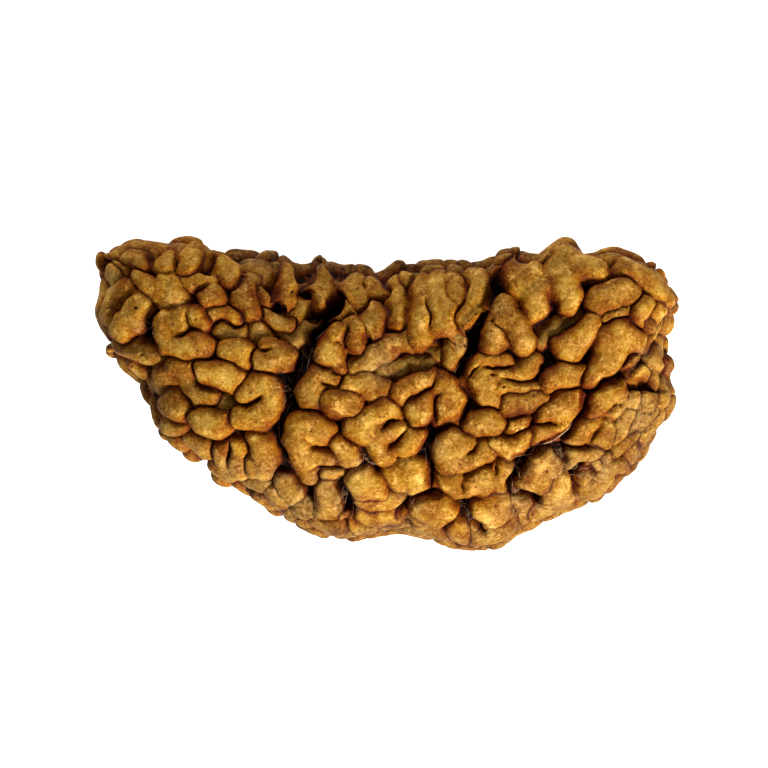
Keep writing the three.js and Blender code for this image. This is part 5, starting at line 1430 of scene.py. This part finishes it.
@dataclass(frozen=True)
class ShellFinish:
    """The woody shell: golden on the nodules, rusty on their shoulders and near black in the grooves; the
    darkening into the grooves and down the shoulders is partly the seed's own colour and partly painted
    shade.
    """

    # Colours from the groove floor up to a nodule's top, and their heights; the near-black low end is partly
    # the seed's dark crevices and partly painted shade
    climb: tuple[tuple[float, str], ...] = (
        (0.0, "#180602"), (0.2, "#5A2608"), (0.38, "#88480C"),
        (0.6, "#9C6210"), (0.82, "#B08426"), (1.0, "#BE9C48"),
    )
    # Painted shade: the height that picks the colour is lowered towards each nodule's edges, so they darken
    # there
    edge_power: float = 2.2
    edge_shade: float = -0.3
    patches: Cloud = Cloud(1300.0, Span(0.32, 0.68, -0.15, 0.08), 3.0, 0.6)
    speckle: float = 0.16

    # Rusty stains, heavier down the shoulders, partly real stain and partly painted shade; and straw-coloured
    # tops, partly a paler tone and partly painted highlight
    rust_and_shade: str = "#C47C22"
    rusting: Cloud = Cloud(520.0, Span(0.46, 0.66, 0.0, 0.8), 2.5)
    rust_and_shade_flanks: Span = Span(1.0, 0.6, 0.45, 1.0)
    straw: str = "#E2BE72"
    straw_highlighting: Cloud = Cloud(1100.0, Span(0.5, 0.66, 0.0, 0.8), 3.0, 0.7)
    highlighted_tops: Span = Span(0.8, 1.0)

    # Each nodule's own tint, and the dull look of those that lie deeper
    olive: str = "#C0A080"
    tinting: Span = Span(0.5, 1.0, 0.0, 0.4)
    dull: str = "#7C5A2A"
    sinking: Span = Span(0.2, 0.8, 0.0, 0.85)
    dull_tops: Span = Span(0.5, 1.0)

    # Painted shade on the far side of the hollow edge, with dark blotches, and the convex rim dulled and
    # darkened: partly worn tan, partly painted shade where the key light falls hardest
    far_side_shade_colour: str = "#86602C"
    far_side_shaded_tops: Span = Span(0.3, 0.7, 0.0, 0.6)
    blotch: str = "#3A200A"
    blotching: Cloud = Cloud(1900.0, Span(0.5, 0.62, 0.0, 0.75), 4.0, 0.7)
    rubbed_and_shaded: str = "#E2DACC"

    # Pale flecks on the tops, partly painted glints, then fine grain and wide clouds
    flecking: Cloud = Cloud(4200.0, Span(0.58, 0.72, 0.0, 0.4), 1.0)
    flecked_tops: Span = Span(0.6, 0.95)
    grain_scale: float = 5600.0
    grain_contrast: float = 4.6
    grain_share: float = 0.7
    grain_tones: tuple[tuple[float, str], ...] = ((0.1, "#5C5650"), (0.9, "#A8A49A"))
    clouding: Cloud = Cloud(900.0, Span(0.34, 0.66), 4.0, 0.7)
    cloud_share: float = 0.8
    cloud_tones: tuple[tuple[float, str], ...] = ((0.0, "#4A4038"), (1.0, "#A8A8A4"))

    # Pores, dust and crease lines; the crease lines are partly the seed's dark crevices and partly painted
    # shade
    pore: str = "#4A2006"
    pore_scale: float = 2300.0
    pore_edge: Span = Span(0.3, 0.08)
    pore_patches: Cloud = Cloud(800.0, Span(0.5, 0.6))
    pore_share: float = 0.7
    dust: str = "#AA8C50"
    dust_streaks: Cloud = Cloud(3600.0, Span(0.4, 0.62, 0.15, 0.85), 3.0, 0.7)
    dust_from_top: Span = Span(1.05, 0.6, 0.4, 0.6)
    dust_from_floor: Span = Span(0.4, 0.7)
    dark_line: str = "#2E0E04"
    line: Span = Span(0.44, 0.9, 0.0, 0.92)

    # The feel of the surface
    roughness: Span = Span(0.2, 0.8, 0.8, 0.56)
    wrinkle_scale: float = 1500.0
    wrinkle_detail: float = 3.0
    wrinkle_roughness: float = 0.6
    wrinkle_height: float = 1.6
    pore_height: float = -0.6
    bump_strength: float = 0.6
    bump_distance: float = 0.09 * MM
    shine: float = 0.05

    def climbing(self, wiring: Wiring, shade: Socket) -> tuple[Socket, Socket]:
        """Works out how high on its nodule each place looks.

        Args:
            wiring: Of the material.
            shade: Of the fine grain.

        Returns:
            The height, lowered towards the nodule's edges as painted shade, and the same made uneven.
        """
        # Painted shade towards the nodule's edges
        edge = wiring.math("POWER", wiring.trait("shoulder"), self.edge_power)
        rounded = wiring.math("MULTIPLY_ADD", edge, self.edge_shade, wiring.trait("rise"), held=False)
        uneven = wiring.math("ADD", rounded, wiring.cloud(self.patches), held=False)
        centred = wiring.math("SUBTRACT", shade, AVERAGE, held=False)
        return rounded, wiring.math("MULTIPLY_ADD", centred, self.speckle, uneven, held=False)

    def weathered(self, wiring: Wiring, rounded: Socket, height: Socket) -> Socket:
        """Colours the nodules by height, then lays on rust stains, straw tops that are partly painted
        highlight, tints, painted shade on the hollow edge's far side, and a dulled convex rim that is partly
        painted shade.

        Args:
            wiring: Of the material.
            rounded: The height on the nodule, lowered towards its edges as painted shade.
            height: The same made uneven.

        Returns:
            The colour.
        """
        # Near black towards the groove floor: partly the seed's dark crevices, partly painted shade
        colour = wiring.ramp(height, self.climb)
        # Rust stain, laid more heavily down the flanks: partly real stain, partly painted shade
        rust_and_shade = wiring.times(wiring.cloud(self.rusting), wiring.span(rounded, self.rust_and_shade_flanks))
        colour = wiring.layer(rust_and_shade, colour, paint(self.rust_and_shade), Blend.DARKEN)
        # Straw patches on the tops: partly a paler tone, partly painted highlight
        straw_highlight = wiring.times(wiring.cloud(self.straw_highlighting), wiring.span(height, self.highlighted_tops))
        colour = wiring.layer(straw_highlight, colour, paint(self.straw))
        tint = wiring.span(wiring.trait("tone"), self.tinting)
        colour = wiring.layer(tint, colour, paint(self.olive), Blend.DARKEN)
        deep = wiring.span(wiring.trait("sunk"), self.sinking)
        deep_tops = wiring.times(deep, wiring.span(height, self.dull_tops))
        colour = wiring.layer(deep_tops, colour, paint(self.dull))
        # Painted shade on the far side of the hollow edge, which faces away from the key light
        far_side_shade = wiring.times(wiring.trait("far_side_shade"), wiring.span(wiring.trait("rise"), self.far_side_shaded_tops))
        colour = wiring.layer(far_side_shade, colour, paint(self.far_side_shade_colour))
        # Dark blotches within that painted shade
        blotches = wiring.times(wiring.cloud(self.blotching), wiring.trait("far_side_shade"))
        colour = wiring.layer(blotches, colour, paint(self.blotch))
        # The convex rim dulled and darkened: partly worn tan, partly painted shade where the key light falls
        # hardest
        return wiring.layer(wiring.trait("worn_and_shaded"), colour, paint(self.rubbed_and_shaded), Blend.DARKEN)

    def speckled(self, wiring: Wiring, height: Socket, shade: Socket, colour: Socket) -> Socket:
        """Lays flecks (partly painted glints on the tops), grain and clouds over the colour.

        Args:
            wiring: Of the material.
            height: On the nodule.
            shade: Of the fine grain.
            colour: What they are laid over.

        Returns:
            The colour that results.
        """
        # Straw flecks on the tops: partly pale grain, partly painted glints
        flecks = wiring.times(wiring.cloud(self.flecking), wiring.span(height, self.flecked_tops))
        colour = wiring.layer(flecks, colour, paint(self.straw))
        grain = wiring.ramp(shade, self.grain_tones)
        colour = wiring.layer(self.grain_share, colour, grain, Blend.SOFT_LIGHT)
        clouds = wiring.ramp(wiring.cloud(self.clouding), self.cloud_tones)
        return wiring.layer(self.cloud_share, colour, clouds, Blend.SOFT_LIGHT)

    def pores(self, wiring: Wiring) -> Socket:
        """Scatters small pores.

        Args:
            wiring: Of the material.

        Returns:
            1 in a pore and 0 elsewhere.
        """
        cells = wiring.node("TexVoronoi", {"Vector": wiring.places, "Scale": self.pore_scale})
        spots = wiring.span(cells.outputs["Distance"], self.pore_edge)
        return wiring.times(spots, wiring.cloud(self.pore_patches))

    def lined(self, wiring: Wiring, pores: Socket, colour: Socket) -> Socket:
        """Lays pores, dust and crease lines over the colour.

        Args:
            wiring: Of the material.
            pores: 1 in a pore.
            colour: What they are laid over.

        Returns:
            The colour that results.
        """
        colour = wiring.layer(wiring.times(pores, self.pore_share), colour, paint(self.pore))
        rise = wiring.trait("rise")
        flanks = wiring.span(rise, self.dust_from_top), wiring.span(rise, self.dust_from_floor)
        streaks = wiring.times(wiring.cloud(self.dust_streaks), wiring.times(*flanks))
        dusty = wiring.times(wiring.trait("dust"), streaks)
        colour = wiring.layer(dusty, colour, paint(self.dust))
        # Dark crease lines: partly the seed's dark crevices, partly painted shade where the grooves are too
        # shallow to shade themselves
        line = wiring.span(wiring.trait("crease"), self.line)
        return wiring.layer(line, colour, paint(self.dark_line))

    def wrinkled(self, wiring: Wiring, grain: Socket, pores: Socket) -> Socket:
        """Feels out the surface.

        Args:
            wiring: Of the material.
            grain: The height of the fine grain.
            pores: 1 in a pore.

        Returns:
            The bumpy normal.
        """
        wrinkle = wiring.noise(self.wrinkle_scale, self.wrinkle_detail, self.wrinkle_roughness)
        relief = wiring.math("MULTIPLY_ADD", wrinkle, self.wrinkle_height, grain, held=False)
        pitted = wiring.math("MULTIPLY_ADD", pores, self.pore_height, relief, held=False)
        inputs = {"Height": pitted, "Strength": self.bump_strength, "Distance": self.bump_distance}
        return wiring.node("Bump", inputs).outputs[0]

    def material(self, grain: bpy.types.NodeTree) -> bpy.types.Material:
        """Makes the material.

        Args:
            grain: The node group of fine grain.

        Returns:
            The finished material.
        """
        made = bpy.data.materials.new("woody_shell")
        made.use_nodes = True
        wiring = Wiring(made.node_tree)
        shader = made.node_tree.nodes["Principled BSDF"]
        grain_inputs = {"Scale": self.grain_scale, "Contrast": self.grain_contrast}
        fine = wiring.node("Group", grain_inputs, node_tree=grain)
        shade = fine.outputs["Shade"]
        rounded, height = self.climbing(wiring, shade)
        colour = self.weathered(wiring, rounded, height)
        colour = self.speckled(wiring, height, shade, colour)
        pores = self.pores(wiring)
        wiring.feed(shader.inputs["Base Color"], self.lined(wiring, pores, colour))
        wiring.feed(shader.inputs["Roughness"], wiring.span(shade, self.roughness))
        wiring.feed(shader.inputs["Normal"], self.wrinkled(wiring, fine.outputs["Height"], pores))
        shader.inputs["Specular IOR Level"].default_value = self.shine
        return made


@dataclass(frozen=True)
class FibreFinish:
    """Dry pulp fibres: dull, and from brown to tan."""

    tones: tuple[tuple[float, str], ...] = ((0.2, "#6A4028"), (0.8, "#A88058"))
    grain_scale: float = 2600.0
    grain_contrast: float = 3.0
    roughness: float = 0.8

    def material(self, grain: bpy.types.NodeTree) -> bpy.types.Material:
        """Makes the material.

        Args:
            grain: The node group of fine grain.

        Returns:
            The finished material.
        """
        made = bpy.data.materials.new("dry_pulp_fibre")
        made.use_nodes = True
        wiring = Wiring(made.node_tree)
        shader = made.node_tree.nodes["Principled BSDF"]
        grain_inputs = {"Scale": self.grain_scale, "Contrast": self.grain_contrast}
        fine = wiring.node("Group", grain_inputs, node_tree=grain)
        wiring.feed(shader.inputs["Base Color"], wiring.ramp(fine.outputs["Shade"], self.tones))
        shader.inputs["Roughness"].default_value = self.roughness
        return made


@dataclass(frozen=True)
class FloorFinish:
    """Plain pale paper on a light table, which keeps shadows faint."""

    colour: str = "#F6F5F3"
    roughness: float = 0.9
    shine: float = 0.1
    glow: float = 0.86

    def material(self) -> bpy.types.Material:
        """Makes the material.

        Returns:
            The finished material.
        """
        made = bpy.data.materials.new("pale_floor")
        made.use_nodes = True
        shader = made.node_tree.nodes["Principled BSDF"]
        shader.inputs["Base Color"].default_value = paint(self.colour)
        shader.inputs["Roughness"].default_value = self.roughness
        shader.inputs["Specular IOR Level"].default_value = self.shine
        shader.inputs["Emission Color"].default_value = paint(self.colour)
        shader.inputs["Emission Strength"].default_value = self.glow
        return made


def mesh_object(name: str, places: Array, faces: Array, material: bpy.types.Material) -> bpy.types.Object:
    """A smooth mesh object.

    Args:
        name: Of the piece.
        places: Corners in metres, one a row.
        faces: Corner numbers, one face a row.
        material: Its finish.

    Returns:
        The object, linked to the scene.
    """
    mesh = bpy.data.meshes.new(name)
    sides = faces.shape[1]
    mesh.vertices.add(len(places))
    mesh.vertices.foreach_set("co", places.astype(np.float32).ravel())
    mesh.loops.add(faces.size)
    mesh.loops.foreach_set("vertex_index", faces.astype(np.int32).ravel())
    mesh.polygons.add(len(faces))
    mesh.polygons.foreach_set("loop_start", np.arange(0, faces.size, sides, dtype=np.int32))
    mesh.update(calc_edges=True)
    mesh.validate()
    mesh.shade_smooth()
    mesh.materials.append(material)
    made = bpy.data.objects.new(name, mesh)
    bpy.context.scene.collection.objects.link(made)
    return made


def add_trait(mesh: bpy.types.Mesh, name: str, values: Array) -> None:
    """Gives a mesh one number a corner, for its material to read."""
    mesh.attributes.new(name, "FLOAT", "POINT").data.foreach_set("value", values.astype(np.float32))


@dataclass
class Shell:
    """The seed's skin as one closed mesh, fine enough for its creases and pits."""

    form: Form
    squares: tuple[int, int, int] = (46, 26, 24)  # of a plain box round it, along x, y and z
    splits: int = 8  # of each square's side, before the mesh is thinned out
    quick_splits: int = 3
    most_triangles: int = 196000
    lumps: tuple[tuple[float, float], ...] = ((1.7, 0.07), (0.8, 0.045), (0.36, 0.018))  # width and height
    lump_seed: int = 20

    def grid(self, splits: int) -> tuple[Array, Array]:
        """A box's grid, blown up onto the pillow.

        Args:
            splits: Of each of the box's squares.

        Returns:
            The corners on the skin, and the grid's quads.
        """
        counts = np.array(self.squares) * splits
        corners: list[Array] = []
        quads: list[Array] = []
        start = 0
        for axis in range(3):
            first, second = (axis + 1) % 3, (axis + 2) % 3
            across, along = counts[first], counts[second]
            i, j = np.meshgrid(np.arange(across + 1), np.arange(along + 1), indexing="ij")
            for side in (-1, 1):
                cells = np.zeros((i.size, 3), int)
                cells[:, first], cells[:, second] = i.ravel(), j.ravel()
                cells[:, axis] = 0 if side < 0 else counts[axis]
                corners.append(cells)
                number = start + np.arange(i.size).reshape(i.shape)
                quad = np.stack([number[:-1, :-1], number[1:, :-1], number[1:, 1:], number[:-1, 1:]], axis=-1)
                quads.append(quad.reshape(-1, 4)[:, :: side])
                start += i.size
        cells, merged = np.unique(np.concatenate(corners), axis=0, return_inverse=True)
        angles = (cells / counts * 2 - 1) * (np.pi / 4)
        rays = np.tan(angles)
        rays /= np.linalg.norm(rays, axis=1)[:, None]
        places = self.form.pillow.onto(rays * np.array(EGG) + self.form.pillow.middle)
        return places, merged.ravel()[np.concatenate(quads)]

    def lumpiness(self, places: Array) -> Array:
        """Low unevenness of the nodules themselves.

        Args:
            places: Places on the skin, in millimetres.

        Returns:
            How much deeper each place is, in millimetres.
        """
        total = np.zeros(len(places))
        for number, (width, height) in enumerate(self.lumps):
            total += height * LatticeNoise(self.lump_seed + number).at(places, width)
        return total

    def carved(self, skin: Array) -> tuple[Array, Relief]:
        """The surface under places on the skin.

        Args:
            skin: Places on the skin, in millimetres.

        Returns:
            The surface's places in the part's frame, in metres, and the relief there.
        """
        relief = self.form.relief(skin)
        depth = relief.depth + self.lumpiness(skin)
        from_spot = np.hypot(*(skin[:, :2] - MIDDLE[:2]).T)
        bare = np.where(skin[:, 2] < 0, smooth_step((from_spot - BARE_RADIUS) / BARE_FADE), 1.0)
        places = skin - self.form.pillow.normals(skin) * (bare * depth)[:, None]
        return self.placed(places), relief

    @staticmethod
    def placed(places: Array) -> Array:
        """Moves places into the part's frame, none of them under the flat spot.

        Args:
            places: In millimetres, one a row.

        Returns:
            The moved places, in metres.
        """
        bottom = -HALF_THICKNESS + FLAT_CUT
        heights = np.maximum(places[:, 2], bottom) - bottom
        return np.column_stack([places[:, :2] - MIDDLE[:2], heights]) * MM

    def build(self, material: bpy.types.Material) -> bpy.types.Object:
        """Makes the piece, thinned out where it is even, and gives it the traits that its finish reads.

        Args:
            material: The shell's finish.

        Returns:
            The piece.
        """
        skin, quads = self.grid(self.splits)
        places, relief = self.carved(skin)
        made = mesh_object("nodular_shell", places, quads, material)
        for trait in TRAITS:
            add_trait(made.data, trait, getattr(relief, trait))
        triangles = 2 * len(quads)
        if triangles > self.most_triangles:
            self.thin_out(made, self.most_triangles / triangles)
        return made

    @staticmethod
    def thin_out(shell: bpy.types.Object, share: float) -> None:
        """Merges faces where the surface is even.

        Args:
            shell: The piece; its mesh is changed in place.
            share: Of its triangles that are left.
        """
        modifier = shell.modifiers.new("thin_out", "DECIMATE")
        modifier.ratio = share
        fine = shell.data
        settled = shell.evaluated_get(bpy.context.evaluated_depsgraph_get())
        shell.data = bpy.data.meshes.new_from_object(settled)
        shell.modifiers.clear()
        bpy.data.meshes.remove(fine)
        shell.data.name = shell.name


@dataclass
class PulpFibres:
    """Thin dry strands of the fruit's pulp that still lie in the valleys of the front."""

    form: Form
    shell: Shell
    seed: int = 77
    strands_per_mm: float = 3.0
    scatter: float = 0.2
    astray: float = 0.3  # how far a strand points off its furrow, in radians
    highest: float = 0.5  # on the nodules' flanks that a strand lies on, from 0 at their feet to 1
    steps: int = 9
    sides: int = 4
    lengths: tuple[float, float] = (1.0, 3.2)
    tuft_lengths: tuple[float, float] = (0.3, 1.0)
    radii: tuple[float, float] = (0.007, 0.017)
    end_share: float = 0.35  # of its radius that a strand has at its ends
    bend: float = 0.16
    lift: tuple[float, float] = (0.03, 0.3)
    buried: float = 0.12  # how deep both ends go
    bury_power: int = 3  # how suddenly they do

    def walked(self, draws: np.random.Generator, start: Array, heading: float, length: float) -> Array:
        """A wandering line over the front, as x and y.

        Args:
            draws: Random numbers.
            start: Its first place.
            heading: Its first direction, in radians.
            length: From end to end along the line.

        Returns:
            The places, one a row.
        """
        turns = draws.normal(0, self.bend, self.steps)
        headings = heading + np.cumsum(turns)
        moves = np.stack([np.cos(headings), np.sin(headings)], axis=1) * length / self.steps
        return np.vstack([start, start + np.cumsum(moves, axis=0)])

    def scattered(self) -> list[Array]:
        """The many short strands, seen from the front.

        Returns:
            Those along the furrows, then those in tufts, each as rows of x and y.
        """
        draws = np.random.default_rng(self.seed)
        found = []
        for points in FURROWS:
            corners = np.array(points, float)
            for start, end in zip(corners, corners[1:]):
                way = end - start
                span = float(np.hypot(*way))
                along = float(np.arctan2(way[1], way[0]))
                for _ in range(round(span * self.strands_per_mm)):
                    place = start + draws.uniform() * way + draws.normal(0, self.scatter, 2)
                    heading = along + draws.normal(0, self.astray)
                    found.append(self.walked(draws, place, heading, draws.uniform(*self.lengths)))
        for x, y, radius, count in TUFTS:
            for _ in range(count):
                place = np.array([x, y]) + draws.normal(0, radius / 2, 2)
                heading = draws.uniform(0, 2 * np.pi)
                found.append(self.walked(draws, place, heading, draws.uniform(*self.tuft_lengths)))
        return found

    def stepped(self, points: list[list[float]]) -> Array:
        """A path of few points as a line of as many steps as every strand has.

        Args:
            points: Each is x and y.

        Returns:
            The places, one a row.
        """
        corners = np.array(points, float)
        at = np.linspace(0, len(corners) - 1, self.steps + 1)
        return np.column_stack([np.interp(at, np.arange(len(corners)), column) for column in corners.T])

    def tube(self, spine: Array, radius: float) -> tuple[Array, Array]:
        """A closed tube that tapers to both ends.

        Args:
            spine: Its middle line, in metres.
            radius: At its middle, in metres.

        Returns:
            Corners and triangles.
        """
        ahead = np.gradient(spine, axis=0)
        ahead /= np.linalg.norm(ahead, axis=1)[:, None]
        side = np.cross(ahead, [0.0, 0.0, 1.0])
        side /= np.linalg.norm(side, axis=1)[:, None]
        up = np.cross(side, ahead)
        count = len(spine)
        taper = self.end_share + (1 - self.end_share) * np.sin(np.linspace(0, np.pi, count))
        thick = (radius * taper)[:, None]
        angles = np.arange(self.sides) * 2 * np.pi / self.sides
        rings = [side * np.cos(angle) + up * np.sin(angle) for angle in angles]
        corners = np.stack([spine + ring * thick for ring in rings], axis=1).reshape(-1, 3)
        faces = []
        for row in range(count - 1):
            for spot in range(self.sides):
                first, second = row * self.sides + spot, row * self.sides + (spot + 1) % self.sides
                faces.append([first, second, second + self.sides])
                faces.append([first, second + self.sides, first + self.sides])
        last = (count - 1) * self.sides
        for spot in range(1, self.sides - 1):
            faces.append([0, spot + 1, spot])
            faces.append([last, last + spot, last + spot + 1])
        return corners, np.array(faces)

    def build(self, material: bpy.types.Material) -> bpy.types.Object:
        """Drapes every strand over the surface, its ends under it, and joins them in one piece.

        Args:
            material: The fibres' finish.

        Returns:
            The piece.
        """
        draws = np.random.default_rng(self.seed + 1)
        loose = self.scattered()
        lines = loose + [self.stepped(points) for _, points in STRANDS]
        flat = np.concatenate(lines)
        skin = self.form.lifted(flat[:, 0], flat[:, 1])
        relief = self.form.relief(skin)
        normals = self.form.pillow.normals(skin)
        corners, faces = [], []
        start = taken = 0
        for number, line in enumerate(lines):
            rows = slice(start, start + len(line))
            start += len(line)
            by_hand = number >= len(loose)
            if not by_hand and relief.rise[rows][1:-1].max() > self.highest:
                continue
            share = np.sin(np.linspace(0, np.pi, len(line)))
            lift = share * draws.uniform(*self.lift) - (1 - share) ** self.bury_power * self.buried
            places = skin[rows] - normals[rows] * (relief.depth[rows] - lift)[:, None]
            radius = STRANDS[number - len(loose)][0] if by_hand else draws.uniform(*self.radii)
            tube, triangles = self.tube(self.shell.placed(places), radius * MM)
            corners.append(tube)
            faces.append(triangles + taken)
            taken += len(tube)
        return mesh_object("pulp_fibres", np.concatenate(corners), np.concatenate(faces), material)


@dataclass(frozen=True)
class Lamp:
    """A square soft light that faces the seed."""

    name: str
    place: tuple[float, float, float]  # in metres from the flat spot, like its side
    side: float
    power: float  # in watts

    def build(self) -> None:
        """Hangs the lamp."""
        data = bpy.data.lights.new(self.name, "AREA")
        data.size = self.side
        data.energy = self.power
        made = bpy.data.objects.new(self.name, data)
        made.location = self.place
        made.rotation_mode = "QUATERNION"
        made.rotation_quaternion = (-Vector(self.place)).to_track_quat("-Z", "Y")
        bpy.context.scene.collection.objects.link(made)


@dataclass
class Studio:
    """A pale floor, soft light and a camera straight above the seed, as in the photograph."""

    frame_width: float = 42.67 * MM  # what the picture shows from side to side
    lens: float = 400.0
    focus_height: float = 7.0 * MM
    centre: tuple[float, float] = (-0.84 * MM, -0.14 * MM)
    floor_size: float = 1.2
    sky: float = 0.12
    sky_colour: str = "#FFFFFF"
    lamps: tuple[Lamp, ...] = (
        Lamp("key", (0.22, -0.31, 0.2), 0.1, 5.8),
        Lamp("overhead", (-0.02, 0.02, 0.5), 0.3, 0.2),
        Lamp("fill", (-0.03, 0.43, 0.09), 0.24, 2.7),
        Lamp("side", (-0.4, -0.1, 0.09), 0.24, 0.6),
    )

    def floor(self) -> None:
        """Lays the floor that the seed lies on."""
        half = self.floor_size / 2
        corners = np.array([[-half, -half, 0], [half, -half, 0], [half, half, 0], [-half, half, 0]])
        made = mesh_object("floor", corners, np.array([[0, 1, 2, 3]]), FloorFinish().material())
        made.visible_diffuse = False  # so that the bright paper does not light the seed from below

    def light(self) -> None:
        """A key from the near right, a fill past the hollow edge, two weaker lamps, and an even pale sky."""
        for lamp in self.lamps:
            lamp.build()
        world = bpy.data.worlds.new("sky")
        world.use_nodes = True
        background = world.node_tree.nodes["Background"]
        background.inputs["Color"].default_value = paint(self.sky_colour)
        background.inputs["Strength"].default_value = self.sky
        bpy.context.scene.world = world

    def camera(self) -> None:
        """Puts the camera straight above, with the picture's top towards the hollow edge."""
        data = bpy.data.cameras.new("camera")
        data.lens = self.lens
        distance = self.frame_width * self.lens / data.sensor_width
        made = bpy.data.objects.new("camera", data)
        made.location = (*self.centre, self.focus_height + distance)
        bpy.context.scene.collection.objects.link(made)
        bpy.context.scene.camera = made

    def build(self) -> None:
        """Sets everything up."""
        self.floor()
        self.light()
        self.camera()
        bpy.context.scene.view_settings.view_transform = "Standard"


def main() -> None:
    """Builds the seed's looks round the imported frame, then the studio."""
    logging.basicConfig(level=logging.INFO, format="%(name)s: %(message)s")
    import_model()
    form = Form(Pillow(RIM, np.array(MIDDLE), HALF_THICKNESS))
    LOG.info("%d nodules", len(form.nodules))
    grain = DryGrain().group()
    skin = Shell(form)
    shell = skin.build(ShellFinish().material(grain))
    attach(shell, BODY)
    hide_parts("rudraksha_seed")
    fibres = PulpFibres(form, skin).build(FibreFinish().material(grain))
    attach(fibres, BODY)
    for piece in (shell, fibres):
        LOG.info("%s: %d faces", piece.name, len(piece.data.polygons))
    Studio().build()
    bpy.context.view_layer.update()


if __name__ == "__main__":
    main()
